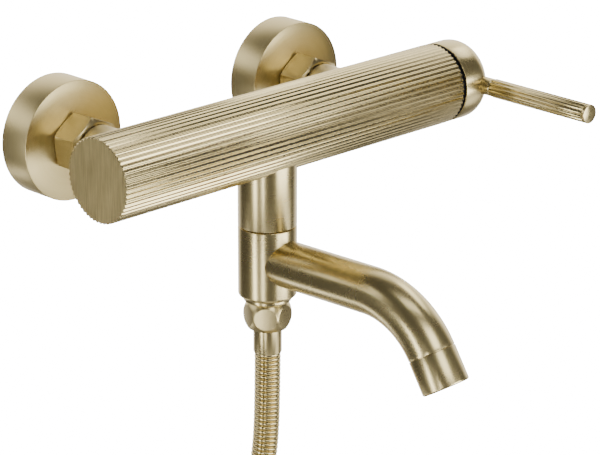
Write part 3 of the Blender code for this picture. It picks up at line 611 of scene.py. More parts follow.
# Glass filled nylon: black, dull, a little grey where it catches light. The same black is also laid on the
# body's mouth and the cap's rim as painted shade for the dark gap between them.
BLACK_NYLON_AND_GAP_SHADE = Moulded("black_nylon_and_painted_gap_shade", "#1B1B1C", "#121213", 0.5)
# Acetal: off-white and waxy.
WHITE_ACETAL = Moulded("white_acetal_moulded", "#EDEDE9", "#DEDED8", 0.4)
# Lapped alumina: cream, smooth and close to shiny.
ALUMINA = Moulded("alumina_lapped", "#F2EFE6", "#E6E1D4", 0.18, 0.4 * MM, 0.002 * MM)
# Nitrile rubber: black and matt.
NITRILE = Moulded("nitrile_rubber_moulded", "#222222", "#161616", 0.7)
# Pressed fibre washer: red brown and dusty.
FIBRE = Moulded("red_fibre_pressed", "#8A4330", "#6A2F20", 0.85, 0.5 * MM, 0.03 * MM)


def turned_gold(
    name: str,
    centre: tuple[float, float, float],
    axis: tuple[float, float, float],
    roughness: float = 0.28,
) -> TurnedMetal:
    """Coated brass brushed on the lathe: rings round the piece's own axis.

    Args:
        name: Which piece it is for.
        centre: A point on the axis.
        axis: The axis as a whole unit vector.
        roughness: How far the marks blur a reflection.

    Returns:
        The finish.
    """
    label = "pvd_brass_lathe_brushed_" + name
    return TurnedMetal(label, GOLD, GOLD_SHADE, roughness, contrast=0.005, centre=centre, axis=axis)


# --- Camera and light ---------------------------------------------------------
@dataclass(frozen=True)
class Softbox:
    """One soft lamp: where it stands as seen from the camera, its size and its power."""

    name: str
    swing: float
    rise: float
    width: float
    height: float
    power: float
    distance: float = 3.0


@dataclass(frozen=True)
class Glow:
    """One soft patch of light in the surround: where it is, where it fades in, and its strength."""

    toward: tuple[float, float, float]
    start: float
    full: float
    low: float
    high: float


@dataclass
class Studio:
    """The camera, the lamps and the pale cove the mixer is shown in."""

    target: Vector = field(default_factory=lambda: Vector((0.01028, -0.07257, -0.04337)))
    azimuth: float = -44.063
    elevation: float = 19.147
    distance: float = 1.3665
    lens: float = 166.03
    shift: tuple[float, float] = (0.0328, -0.0256)
    floor_level: float = -1.5
    cove_radius: float = 9.0
    cove_corner: float = 2.0
    cove_glow: float = 20.0
    lamp_tint: tuple[float, float, float] = (1.0, 0.985, 0.96)
    lamps: tuple[Softbox, ...] = (
        Softbox("right_panel", 60, -7, 2.35, 1.9, 118),
        Softbox("front_right_high", 32, 36, 1.5, 1.3, 34),
        Softbox("left_strip", -49, -14, 0.45, 2.2, 38),
        Softbox("front_strip", -17, -14, 0.28, 2.2, 22),
        Softbox("top_right", 132, 50, 1.5, 0.9, 15),
        Softbox("overhead", 20, 72, 1.8, 0.7, 12),
        Softbox("rear_left", -93, 27, 2.8, 1.3, 27),
        Softbox("rear_right_low", 92, -38, 1.4, 1.0, 9),
        Softbox("rear_left_low", -106, -43, 1.7, 0.3, 6),
        Softbox("floor_bounce", 15, -58, 2.2, 1.2, 9),
    )
    glows: tuple[Glow, ...] = (
        Glow((0.70, 0.70, 0.14), 0.40, 0.85, 0.10, 2.4),
        Glow((0.0, 0.0, -1.0), 0.45, 0.95, 0.0, 0.2),
    )

    def direction(self, swing: float, rise: float) -> Vector:
        """Return the direction from the mixer to a place seen from the camera.

        Args:
            swing: Degrees to the right of the camera.
            rise: Degrees above the camera.
        """
        azimuth = math.radians(self.azimuth + swing)
        elevation = math.radians(self.elevation + rise)
        flat = math.cos(elevation)
        return Vector((math.sin(azimuth) * flat, -math.cos(azimuth) * flat, math.sin(elevation)))

    def stand(self, name: str, data: bpy.types.ID, direction: Vector, distance: float) -> bpy.types.Object:
        """Stand a camera or a lamp so that it looks at the mixer, and return it.

        Args:
            name: The object's name.
            data: The camera or the lamp.
            direction: Which way from the mixer it stands.
            distance: How far off.
        """
        item = bpy.data.objects.new(name, data)
        bpy.context.scene.collection.objects.link(item)
        item.location = self.target + direction * distance
        item.rotation_euler = direction.to_track_quat("Z", "Y").to_euler()
        return item

    def place_camera(self) -> None:
        """Set the camera at the product's shown angle."""
        data = bpy.data.cameras.new("camera")
        data.lens = self.lens
        data.sensor_width = 36
        data.sensor_fit = "HORIZONTAL"
        data.shift_x, data.shift_y = self.shift
        data.clip_start = 0.05
        data.clip_end = 60
        bpy.context.scene.camera = self.stand("camera", data, self.direction(0, 0), self.distance)

    def place_lamps(self) -> None:
        """Set up the softboxes, and a surround that is bright behind the mixer and dim in front."""
        for lamp in self.lamps:
            data = bpy.data.lights.new(lamp.name, "AREA")
            data.shape = "RECTANGLE"
            data.size = lamp.width
            data.size_y = lamp.height
            data.energy = lamp.power
            data.color = self.lamp_tint
            direction = self.direction(lamp.swing, lamp.rise - self.elevation)
            self.stand(lamp.name, data, direction, lamp.distance).visible_camera = False
        world = bpy.data.worlds.new("surround")
        world.use_nodes = True
        tree = world.node_tree
        background = tree.nodes["Background"]
        background.inputs["Color"].default_value = to_linear("#FFFAF2")
        outlook = add_node(tree, "TexCoord", {}, {}, {}, "Generated")
        levels = []
        for glow in self.glows:
            dot = {"operation": "DOT_PRODUCT"}
            facing = add_node(tree, "VectorMath", dot, {1: glow.toward}, {0: outlook}, "Value")
            ends = {"From Min": glow.start, "From Max": glow.full, "To Min": glow.low, "To Max": glow.high}
            soft = {"interpolation_type": "SMOOTHSTEP"}
            levels.append(add_node(tree, "MapRange", soft, ends, {"Value": facing}))
        total = add_node(tree, "Math", {"operation": "ADD"}, {}, dict(enumerate(levels)))
        tree.links.new(total, background.inputs["Strength"])
        bpy.context.scene.world = world

    def build_cove(self) -> None:
        """Stand the mixer over a pale floor that curves up into a pale dome."""
        inner = self.cove_radius - self.cove_corner
        level = self.floor_level + self.cove_corner
        section = [(0.0, self.floor_level), (inner, self.floor_level)]
        section += round_corner((inner, level), self.cove_corner, -80, 0, 8)
        section += round_corner((0, level), self.cove_radius, 10, 90, 12)
        section[-1] = (0.0, level + self.cove_radius)
        cove = turn_on_lathe("pale_cove", section, 64)
        material, shader = new_material("pale_paper_cove", 0.0, 0.9)
        shader.inputs["Base Color"].default_value = to_linear("#F4F3F1")
        shader.inputs["Emission Color"].default_value = to_linear("#FFFFFF")
        shader.inputs["Emission Strength"].default_value = self.cove_glow
        material.cycles.emission_sampling = "NONE"
        cove.data.materials.append(material)
        cove.visible_glossy = False
        cove.visible_diffuse = False
        cove.visible_shadow = False
        cove.visible_transmission = False


# --- Hose ---------------------------------------------------------------------
@dataclass
class ShowerHose:
    """The hose from its ferrule down to a neat coil, and the fittings on its far end."""

    book: FinishBook
    radius: float = 6.75 * MM
    length: float = 1.5
    route: Sequence[tuple[float, float]] = (
        (0.0015, -0.1149),
        (0.0014, -0.1250),
        (0.0011, -0.1400),
        (0.0005, -0.1550),
        (-0.0010, -0.1690),
        (-0.0045, -0.1830),
        (-0.0105, -0.1960),
        (-0.0190, -0.2080),
        (-0.0292, -0.2180),
    )
    coil_centre: tuple[float, float] = (0.0045, -0.2815)
    coil_radius: float = 67.5 * MM
    coil_pitch: float = 13.8 * MM
    coil_start: float = 120.0
    coil_end: float = 1260.0
    coil_step: float = 18.0
    tail_drop: float = 45.6 * MM
    tail_shares: tuple[float, ...] = (0.0, 0.35, 0.7, 1.0)
    # How far the hose reaches into its first and its far ferrule.
    first_tuck: float = 3 * MM
    far_tuck: float = 2 * MM
    ring_pitch: float = 2.3 * MM
    sides: int = 22
    # Corners of the rolled strip: millimetres inside its crest, and the share of one ring's length.
    strip: Sequence[tuple[float, float]] = (
        (0.85, 0.0),
        (0.30, 0.12),
        (0.05, 0.24),
        (0.0, 0.38),
        (0.12, 0.66),
        (0.42, 0.88),
        (0.85, 1.0),
    )

    def depth_at(self, angle: float) -> float:
        """Return how far from the wall the coil runs at an angle in degrees."""
        return BODY_Y - self.coil_pitch * (angle - self.coil_start) / 360

    def centre_line(self) -> list[Vector]:
        """Return the points that the hose follows, from the ferrule to the far ferrule."""
        points = [Vector((self.route[0][0], BODY_Y, self.route[0][1] + self.first_tuck))]
        points += [Vector((x, BODY_Y, z)) for x, z in self.route]
        centre_x, centre_z = self.coil_centre
        angle = self.coil_start + self.coil_step
        while angle < self.coil_end - 1:
            turned = math.radians(angle)
            x = centre_x + self.coil_radius * math.cos(turned)
            z = centre_z + self.coil_radius * math.sin(turned)
            points.append(Vector((x, self.depth_at(angle), z)))
            angle += self.coil_step
        tail_x = centre_x - self.coil_radius
        for share in self.tail_shares:
            drop = share * (self.tail_drop + self.far_tuck)
            points.append(Vector((tail_x, self.depth_at(self.coil_end), centre_z - drop)))
        return points

    def smooth_line(self, spacing: float) -> list[Vector]:
        """Return the centre line as close, even points on a Catmull-Rom curve.

        Args:
            spacing: About how far apart they are.
        """
        route = self.centre_line()
        padded = [2 * route[0] - route[1], *route, 2 * route[-1] - route[-2]]
        fine = []
        for before, start, end, after in zip(padded, padded[1:], padded[2:], padded[3:]):
            steps = max(2, round((end - start).length / spacing))
            for step in range(steps):
                t = step / steps
                drift = (end - before) * t
                bow = (2 * before - 5 * start + 4 * end - after) * t**2
                swing = (3 * start - before - 3 * end + after) * t**3
                fine.append(0.5 * (2 * start + drift + bow + swing))
        fine.append(route[-1])
        return fine

    def build_tube(self) -> None:
        """Roll one interlocked ring, repeat it along the hose and bend the row round its route."""
        line = self.smooth_line(4 * MM)
        curve = bpy.data.curves.new("hose_line", "CURVE")
        curve.dimensions = "3D"
        curve.twist_mode = "MINIMUM"
        spline = curve.splines.new("POLY")
        spline.points.add(len(line) - 1)
        for node, point in zip(spline.points, line):
            node.co = (*point, 1.0)
        guide = bpy.data.objects.new("hose_line", curve)
        bpy.context.scene.collection.objects.link(guide)

        real = sum((b - a).length for a, b in zip(line, line[1:]))
        count = int(real / self.ring_pitch)
        pitch = real / count
        section = [(self.radius - inset * MM, share * pitch) for inset, share in self.strip]
        hose = self.roll_ring("shower_hose", section)
        row = {
            "fit_type": "FIXED_COUNT",
            "count": count,
            "use_relative_offset": False,
            "use_constant_offset": True,
            "constant_offset_displace": (0, 0, pitch),
            "use_merge_vertices": True,
            "merge_threshold": 0.01 * MM,
        }
        modify(hose, "ARRAY", row)
        modify(hose, "CURVE", {"object": guide, "deform_axis": "POS_Z"})
        bpy.data.objects.remove(guide)
        start_edit(hose)
        close_up()
        end_edit()
        self.book.hang(hose, Matrix(), 60, STRIP_GOLD, "mixer", "hose_tube", "hose_coil", slot="hose_strip")
        fittings = self.build_far_end()
        tie = self.build_tie()
        LOG.info("shower hose: %d rings over %.3f m", count, real)

    def roll_ring(self, name: str, section: Profile) -> bpy.types.Object:
        """Return one open ring of the hose, spun from its strip's section.

        Args:
            name: The piece's name.
            section: Corners of the strip as (radius, height).
        """
        bpy.ops.mesh.primitive_circle_add(vertices=self.sides, radius=section[0][0])
        ring = take_new(name)
        start_edit(ring)
        for here, there in zip(section, section[1:]):
            grow_ring(there[1] - here[1], there[0] / here[0])
        end_edit()
        return ring

    def build_far_end(self) -> list[bpy.types.Object]:
        """Turn the ferrule and the conical nut on the hose's far end, and return them."""
        tail_x = self.coil_centre[0] - self.coil_radius
        tail_y = self.depth_at(self.coil_end)
        place = Matrix.Translation((tail_x, tail_y, self.coil_centre[1] - self.tail_drop))
        finish = turned_gold("far_end", (tail_x, tail_y, 0.0), (0.0, 0.0, 1.0))
        sleeve = [
            (6.9 * MM, 0),
            (7.2 * MM, 0),
            (7.2 * MM, -28 * MM),
            (4 * MM, -28 * MM),
            (4 * MM, -6 * MM),
            (6.9 * MM, -6 * MM),
        ]
        ferrule = turn_on_lathe("far_ferrule_sleeve", sleeve, 64)
        break_edges(ferrule, 0.15 * MM, 2)
        cone = [
            (7.5 * MM, -28.3 * MM),
            (7.9 * MM, -28.3 * MM),
            (12 * MM, -46 * MM),
            (12 * MM, -50 * MM),
            (9 * MM, -50 * MM),
            (9 * MM, -38 * MM),
            (7.5 * MM, -38 * MM),
        ]
        nut = turn_on_lathe("conical_hose_nut", cone, 80)
        break_edges(nut, 0.3 * MM)
        for piece, node in ((ferrule, "far_ferrule"), (nut, "far_nut")):
            self.book.hang(piece, place, 30, finish, "mixer", node)
        return [ferrule, nut]

    def build_tie(self) -> bpy.types.Object:
        """Wrap a moulded strap round the turns at the coil's right side, and return it."""
        centre_x, centre_z = self.coil_centre
        near, far = self.depth_at(360), self.depth_at(1080)
        margin = self.radius + 0.25 * MM
        strap = 1.2 * MM
        deep = near - far + 2 * (margin + strap)
        wide = 2 * (margin + strap)
        bpy.ops.mesh.primitive_cube_add(size=1)
        tie = take_new("coil_strap")
        start_edit(tie)
        bpy.ops.transform.resize(value=(wide, deep, 12 * MM))
        bpy.ops.mesh.select_mode(type="EDGE")
        shape = bmesh.from_edit_mesh(tie.data)
        for edge in shape.edges:
            along = edge.verts[0].co - edge.verts[1].co
            edge.select_set(abs(along.z) > 5 * MM)
        bmesh.update_edit_mesh(tie.data)
        bpy.ops.mesh.bevel(offset=7.2 * MM, segments=10, affect="EDGES")
        bpy.ops.mesh.select_mode(type="FACE")
        bpy.ops.mesh.select_all(action="DESELECT")
        shape = bmesh.from_edit_mesh(tie.data)
        for face in shape.faces:
            face.select_set(abs(face.normal.z) > FLAT_ON)
        bmesh.update_edit_mesh(tie.data)
        bpy.ops.mesh.inset(thickness=strap, use_individual=True)
        bpy.ops.mesh.bridge_edge_loops()
        close_up()
        end_edit()
        break_edges(tie, 0.3 * MM, 2)
        place = Matrix.Translation((centre_x + self.coil_radius, (near + far) / 2, centre_z))
        self.book.hang(tie, place, 30, BLACK_NYLON_AND_GAP_SHADE, "mixer", "coil_tie", slot="black_plastic")
        return tie


# --- Wall connections ---------------------------------------------------------
@dataclass
class WallInlet:
    """One inlet: rosette, eccentric union, hexagon nut and the boss behind the body."""

    book: FinishBook
    side: str
    x: float
    rosette_radius: float = 30 * MM
    rosette_depth: float = 17.7 * MM
    rosette_front: float = 19.0 * MM
    nut_start: float = 19.3 * MM
    nut_front: float = 34.6 * MM
    across_flats: float = 26.5 * MM
    nut_turn: float = 7.0
    boss_radius: float = 12 * MM

    def build(self) -> None:
        """Make every piece of the inlet and hang it on the mixer."""
        place = towards_room(self.x)
        finish = turned_gold(f"inlet_{self.side}", (self.x, 0.0, 0.0), (0.0, 1.0, 0.0), 0.38)
        side = self.side
        hang = self.book.hang
        hang(self.turn_rosette(), place, 24, finish, "mixer", f"rosette_{side}")
        hang(self.cut_nut(), place, 24, NUT_GOLD, "mixer", f"union_nut_{side}", slot="brushed_gold_nut")
        hang(self.turn_boss(), place, 30, finish, "mixer", f"inlet_boss_{side}")
        union = self.turn_union()
        hang(union, place, 30, MACHINED_BRASS, "mixer", f"eccentric_union_{side}", slot="raw_brass")
        LOG.info("inlet %s: rosette, nut, boss and union", side)

    def turn_rosette(self) -> bpy.types.Object:
        """Turn the hollow rosette with its slightly dished front, and return it."""
        radius = self.rosette_radius
        wall = 1.4 * MM
        section = [
            (radius - wall, 0.0),
            (radius, 0.0),
            (radius, self.rosette_depth - 0.5 * MM),
            (radius - 0.15 * MM, self.rosette_depth - 0.15 * MM),
            (radius - 0.6 * MM, self.rosette_depth),
            (radius - 6 * MM, self.rosette_depth + 0.45 * MM),
            (radius - 12 * MM, self.rosette_depth + 0.85 * MM),
            (10.8 * MM, self.rosette_front),
            (10.8 * MM, self.rosette_front - 2.2 * MM),
            (radius - wall, self.rosette_depth - 2.3 * MM),
        ]
        return turn_on_lathe(f"wall_rosette_{self.side}", section, 160)

    def cut_nut(self) -> bpy.types.Object:
        """Cut the hexagon nut, chamfer its corners, bore it and return it."""
        flat = self.across_flats / 2
        corner = flat / math.cos(math.pi / 6)
        name = f"union_hexagon_{self.side}"
        nut = saw_hexagon(name, self.across_flats, self.nut_start, self.nut_front, self.nut_turn)
        form = [
            (0, self.nut_start - MM),
            (flat - 0.2 * MM, self.nut_start - MM),
            (flat - 0.2 * MM, self.nut_start),
            (corner + 0.2 * MM, self.nut_start + 1.3 * MM),
            (corner + 0.2 * MM, self.nut_front - 1.6 * MM),
            (flat - 0.5 * MM, self.nut_front),
            (flat - 0.5 * MM, self.nut_front + MM),
            (0, self.nut_front + MM),
        ]
        carve(nut, turn_on_lathe("nut_form", form, 96), Carving.TRIM)
        bore = [
            (0, self.nut_start - MM),
            (10.8 * MM, self.nut_start - MM),
            (10.8 * MM, self.nut_front - 4.4 * MM),
            (8.9 * MM, self.nut_front - 4.4 * MM),
            (8.9 * MM, self.nut_front - 2.4 * MM),
            (11.6 * MM, self.nut_front - 2.4 * MM),
            (12.1 * MM, self.nut_front + MM),
            (0, self.nut_front + MM),
        ]
        carve(nut, turn_on_lathe("nut_bore", bore, 96))
        break_edges(nut, 0.28 * MM, 3, 24)
        return nut

    def turn_boss(self) -> bpy.types.Object:
        """Turn the smooth boss that the nut draws against, and return it."""
        start = self.nut_front + 0.3 * MM
        section = [
            (8.8 * MM, start),
            (10.6 * MM, start),
            (11.4 * MM, start + 0.3 * MM),
            (self.boss_radius, start + 1.4 * MM),
            (self.boss_radius, 56.6 * MM),
            (8.8 * MM, 56.6 * MM),
        ]
        return turn_on_lathe(f"inlet_sleeve_{self.side}", section, 96)

    def turn_union(self) -> bpy.types.Object:
        """Make the stepped eccentric union with its thread in the wall, and return it."""
        outward = math.copysign(6 * MM, self.x)
        root, crest, bore = 9.9, 10.4, 6.5
        step, nipple = 8 * MM, 20.3 * MM
        bpy.ops.mesh.primitive_circle_add(vertices=48, radius=root * MM, location=(outward, 0, -15 * MM))
        union = take_new(f"eccentric_wall_union_{self.side}")
        start_edit(union)
        for _ in range(7):
            grow_ring(0.5 * MM, crest / root)
            grow_ring(0.4 * MM)
            grow_ring(0.5 * MM, root / crest)
            grow_ring(0.6 * MM)
        bpy.ops.mesh.extrude_region_move(TRANSFORM_OT_translate={"value": (-outward, 0, step)})
        grow_ring(nipple)
        grow_ring(0.0, bore / root)
        grow_ring(-nipple)
        bpy.ops.mesh.extrude_region_move(TRANSFORM_OT_translate={"value": (outward, 0, -step)})
        grow_ring(-14 * MM)
        grow_ring(0.0, root / bore)
        close_up()
        end_edit()
        return union


# --- Mixer body ---------------------------------------------------------------
@dataclass
class MixerBody:
    """The long reeded body, closed at its left end and open at the cap."""

    book: FinishBook
    radius: float = 20.8 * MM
    left: float = -107 * MM
    right: float = 121 * MM
    ribs: int = 52
    rib_depth: float = 0.66 * MM
    mouth_radius: float = 19.7 * MM
    mouth_depth: float = 8 * MM
    bore: float = 17.5 * MM
    end_wall: float = 3.5 * MM
    # How deep each of the steps across one reed lies, as a share of the groove's depth.
    reed: tuple[float, ...] = (1.0, 0.93, 0.75, 0.5, 0.25, 0.07, 0.0, 0.07, 0.25, 0.5, 0.75, 0.93)

    def build(self) -> None:
        """Make the body and hang it on the mixer."""
        body = draw_reeded_ring("reeded_body", self.radius, self.rib_depth, self.ribs, self.reed)
        mean = self.radius - self.rib_depth * sum(self.reed) / len(self.reed)
        chamfer = 0.3 * MM
        start_edit(body)
        bpy.ops.transform.translate(value=(0, 0, self.left + chamfer))
        grow_ring(self.right - self.left - 2 * chamfer)
        grow_ring(chamfer, 1 - chamfer / self.radius)
        grow_ring(0.0, self.mouth_radius / mean)
        bpy.ops.transform.tosphere(value=1)
        grow_ring(-self.mouth_depth)
        grow_ring(0.0, self.bore / self.mouth_radius)
        grow_ring(self.left + self.end_wall - self.right + self.mouth_depth)
        grow_ring(0.0, 0.5)
        bpy.ops.mesh.edge_face_add()
        low = self.left + chamfer
        choose(body, lambda v: abs(v.co.z - low) < MERGE)
        grow_ring(-chamfer, 1 - chamfer / self.radius)
        grow_ring(0.0, 0.94)
        bpy.ops.transform.tosphere(value=1)
        grow_ring(0.0, 0.6)
        bpy.ops.mesh.edge_face_add()
        close_up()
        end_edit()
        self.book.hang(body, along_body(), 40, REED_GOLD, "mixer", "body_shell")
        # The flat left end takes the lighter gold: painted light.
        self.book.dress_faces(body, FACED_LIT_GOLD, lambda face: face.normal.x < -FLAT_ON)
        # The mouth's inside is painted black: painted shade for the dark gap at the cap.
        self.book.dress_faces(body, BLACK_NYLON_AND_GAP_SHADE, self.in_mouth_painted_shade)
        LOG.info("reeded body: %d faces", len(body.data.polygons))

    def in_mouth_painted_shade(self, face: bpy.types.MeshPolygon) -> bool:
        """Say whether a face lines the mouth, which is painted black as painted shade so that it shows as
        the dark gap at the cap.
        """
        off_axis = math.hypot(face.center.y - BODY_Y, face.center.z)
        inside = off_axis < self.mouth_radius + 0.2 * MM
        return inside and face.center.x > self.right - self.mouth_depth - MM


def draw_reeded_ring(
    name: str, radius: float, depth: float, ribs: int, reed: Sequence[float]
) -> bpy.types.Object:
    """Draw a ring with rounded ribs by drawing its grooves in.

    Args:
        name: The piece's name.
        radius: Radius over the crests.
        depth: How deep the grooves are.
        ribs: How many ribs go round.
        reed: Depth of each step across one rib, as a share of the groove's.

    Returns:
        The open ring, flat on the origin.
    """
    steps = len(reed)
    bpy.ops.mesh.primitive_circle_add(vertices=ribs * steps, radius=radius)
    ring = take_new(name)
    start_edit(ring)
    for step, share in enumerate(reed):
        if share:
            choose(ring, lambda v, step=step: v.index % steps == step)
            factor = 1 - depth * share / radius
            bpy.ops.transform.resize(value=(factor, factor, 1))
    end_edit()
    return ring


# --- Lever --------------------------------------------------------------------
@dataclass
class HubAndLever:
    """The cap on the cartridge with its neck, fluted rod and end disc."""

    book: FinishBook
    cap_radius: float = 20.7 * MM
    cap_rim: float = 123.2 * MM
    seal_reach: float = 1.0 * MM
    cap_end: float = 143.6 * MM
    cap_round: float = 10 * MM
    lever_x: float = 137 * MM
    neck_radius: float = 4.6 * MM
    rod_radius: float = 4.9 * MM
    rod_start: float = 27 * MM
    rod_end: float = 88.4 * MM
    tip: float = 90.3 * MM
    flutes: int = 12
    flute_depth: float = 0.55 * MM
    flute: tuple[float, ...] = (1.0, 0.82, 0.45, 0.18, 0.05, 0.0, 0.0, 0.0, 0.05, 0.18, 0.45, 0.82)

    def build(self) -> None:
        """Make the cap, the neck, the rod and the end disc, and hang them on the lever."""
        finish = turned_gold("hub", (0.0, BODY_Y, 0.0), (1.0, 0.0, 0.0))
        cap = self.turn_cap()
        self.book.hang(cap, along_body(), 30, finish, "lever", "hub_cap")
        # The rim and the ring that stands out of it are painted black as painted shade, and fill the gap to
        # the body.
        rim = self.cap_rim + 0.05 * MM
        self.book.dress_faces(cap, BLACK_NYLON_AND_GAP_SHADE, lambda face: face.center.x < rim)
        place = towards_room(self.lever_x, BODY_Y)
        lever_finish = turned_gold("lever", (self.lever_x, 0.0, 0.0), (0.0, 1.0, 0.0))
        self.book.hang(self.turn_neck(), place, 30, lever_finish, "lever", "lever_neck")
        self.book.hang(self.draw_rod(), place, 50, LEVER_GOLD, "lever", "lever_rod")
        self.book.hang(self.turn_disc(), place, 30, lever_finish, "lever", "lever_end_disc")
        LOG.info("hub cap and lever")

    def turn_cap(self) -> bpy.types.Object:
        """Turn the hollow cap, drill it for its grub screw and return it."""
        rim = self.cap_rim
        end = self.cap_end
        outer = self.cap_radius
        soft = round_corner((outer - self.cap_round, end - self.cap_round), self.cap_round, 0, 90, 16)
        section = [
            (0, end - 3.6 * MM),
            (13.4 * MM, end - 3.6 * MM),
            (13.4 * MM, 136 * MM),
            (15.4 * MM, 131.6 * MM),
            (18.7 * MM, 127.5 * MM),
            (18.7 * MM, rim + 0.9 * MM),
            (18.3 * MM, rim + 0.5 * MM),
            (18.3 * MM, rim - self.seal_reach),
            (18.7 * MM, rim - self.seal_reach),
            (18.7 * MM, rim),
            (outer - 0.45 * MM, rim),
            (outer - 0.12 * MM, rim + 0.14 * MM),
            (outer, rim + 0.45 * MM),
            *soft,
        ]
        section[-1] = (0, end)
        cap = turn_on_lathe("hub_cap_shell", section, 128)
        drill = [(0, 12 * MM), (1.2 * MM, 12 * MM), (1.2 * MM, 22 * MM), (0, 22 * MM)]
        hole = turn_on_lathe("screw_hole", drill, 24)
        sideways = Matrix.Rotation(math.pi / 2, 4, "Y")
        set_in_place(hole, Matrix.Translation((0, 0, end - 1.9 * MM)) @ sideways)
        carve(cap, hole)
        return cap

    def turn_neck(self) -> bpy.types.Object:
        """Turn the smooth neck with its shoulder at the rod, and return it."""
        end = self.rod_start - 0.3 * MM
        section = [
            (0, 16.3 * MM),
            (self.neck_radius, 16.3 * MM),
            (self.neck_radius, end - 0.6 * MM),
            (self.neck_radius - 0.25 * MM, end - 0.2 * MM),
            (self.neck_radius - 0.7 * MM, end),
            (2.4 * MM, end),
            (2.4 * MM, self.rod_start + 9 * MM),
            (0, self.rod_start + 9 * MM),
        ]
        return turn_on_lathe("lever_neck_turned", section, 64)

    def draw_rod(self) -> bpy.types.Object:
        """Draw the fluted rod with its ends broken, and return it."""
        name = "lever_rod_fluted"
        rod = draw_reeded_ring(name, self.rod_radius, self.flute_depth, self.flutes, self.flute)
        chamfer = 0.25 * MM
        shrink = 1 - chamfer / self.rod_radius
        start_edit(rod)
        bpy.ops.transform.translate(value=(0, 0, self.rod_start + chamfer))
        grow_ring(self.rod_end - self.rod_start - 2 * chamfer)
        grow_ring(chamfer, shrink)
        grow_ring(0.0, 0.6)
        bpy.ops.mesh.edge_face_add()
        low = self.rod_start + chamfer
        choose(rod, lambda v: abs(v.co.z - low) < MERGE)
        grow_ring(-chamfer, shrink)
        grow_ring(0.0, 0.56)
        bpy.ops.transform.tosphere(value=1)
        grow_ring(9.5 * MM)
        grow_ring(0.0, 0.5)
        bpy.ops.mesh.edge_face_add()
        close_up()
        end_edit()
        return rod

    def turn_disc(self) -> bpy.types.Object:
        """Turn the flat disc that closes the rod, and return it."""
        low = self.rod_end + 0.3 * MM
        radius = self.rod_radius
        section = [
            (0, low),
            (radius - 0.2 * MM, low),
            (radius, low + 0.2 * MM),
            (radius, self.tip - 0.35 * MM),
            (radius - 0.1 * MM, self.tip - 0.1 * MM),
            (radius - 0.35 * MM, self.tip),
            (0, self.tip),
        ]
        return turn_on_lathe("lever_end_disc_turned", section, 64)


# --- Stem and spout -----------------------------------------------------------
@dataclass
class OutletStem:
    """The fixed stem under the body, the ring under the barrel and the hose's own end."""

    book: FinishBook
    radius: float = 14.7 * MM
    top: float = -13.6 * MM
    bottom: float = -47.2 * MM
    nut_top: float = -86.9 * MM
    nut_bottom: float = -101.2 * MM
    nut_across_flats: float = 21.7 * MM
    nut_radius: float = 12.25 * MM
    nut_turn: float = -19.0
    ferrule_radius: float = 7.2 * MM
    ferrule_bottom: float = -114.6 * MM

    def build(self) -> None:
        """Make the fixed pieces below the body and hang them on the mixer."""
        finish = turned_gold("stem", (STEM_X, BODY_Y, 0.0), (0.0, 0.0, 1.0))
        for piece, node, smooth, metal in (
            (self.turn_stem(), "outlet_stem", 30, finish),
            (self.turn_ring(), "barrel_retaining_ring", 30, finish),
            (self.cut_nut(), "hose_nut", 22, NUT_GOLD),
            (self.turn_ferrule(), "hose_ferrule", 30, finish),
        ):
            self.book.hang(piece, under_stem(), smooth, metal, "mixer", node)
        LOG.info("stem, retaining ring, hose nut and ferrule")

    def turn_stem(self) -> bpy.types.Object:
        """Turn the stem with a broken edge at the seam, and return it."""
        section = [
            (9 * MM, self.top),
            (self.radius, self.top),
            (self.radius, self.bottom + 0.55 * MM),
            (self.radius - 0.15 * MM, self.bottom + 0.2 * MM),
            (self.radius - 0.5 * MM, self.bottom),
            (9 * MM, self.bottom),
        ]
        return turn_on_lathe("outlet_stem_turned", section, 128)

    def turn_ring(self) -> bpy.types.Object:
        """Turn the thin ring that keeps the barrel up, and return it."""
        section = [
            (9.6 * MM, -86.6 * MM),
            (12 * MM, -86.6 * MM),
            (12 * MM, -84.7 * MM),
            (9.6 * MM, -84.7 * MM),
        ]
        ring = turn_on_lathe("retaining_ring_turned", section, 96)
        break_edges(ring, 0.3 * MM)
        return ring

    def cut_nut(self) -> bpy.types.Object:
        """Cut the hose nut, whose six flats come out as round facets, and return it."""
        low, high = self.nut_bottom, self.nut_top
        nut = saw_hexagon("hose_nut_coined", self.nut_across_flats, low, high, self.nut_turn)
        swell = 2.4 * MM
        overrun = 1.02
        steps = 24
        form = [(0, self.nut_bottom - MM)]
        for step in range(steps + 1):
            share = 2 * step / steps - 1
            height = (high + low) / 2 + (high - low) / 2 * share * overrun
            form.append((self.nut_radius - swell * share**2, height))
        form.append((0, self.nut_top + MM))
        carve(nut, turn_on_lathe("hose_nut_form", form, 160), Carving.TRIM)
        lip = self.nut_bottom + 1.2 * MM
        bore = [
            (0, self.nut_bottom - MM),
            (self.ferrule_radius + 0.3 * MM, self.nut_bottom - MM),
            (self.ferrule_radius + 0.3 * MM, lip),
            (9.7 * MM, lip),
            (9.7 * MM, self.nut_top + MM),
            (0, self.nut_top + MM),
        ]
        carve(nut, turn_on_lathe("hose_nut_bore", bore, 96))
        break_edges(nut, 0.2 * MM, 2, 24)
        return nut

    def turn_ferrule(self) -> bpy.types.Object:
        """Turn the ferrule crimped on the hose, and return it."""
        collar = -98.2 * MM
        lip = self.nut_bottom + 1.5 * MM
        radius = self.ferrule_radius
        bottom = self.ferrule_bottom
        section = [
            (4 * MM, collar),
            (9.3 * MM, collar),
            (9.3 * MM, lip),
            (radius, lip),
            (radius, bottom + 0.4 * MM),
            (radius - 0.12 * MM, bottom + 0.1 * MM),
            (radius - 0.3 * MM, bottom),
            (6.85 * MM, bottom),
            (6.85 * MM, bottom + 3.4 * MM),
            (4 * MM, bottom + 3.4 * MM),
        ]
        return turn_on_lathe("hose_ferrule_turned", section, 80)


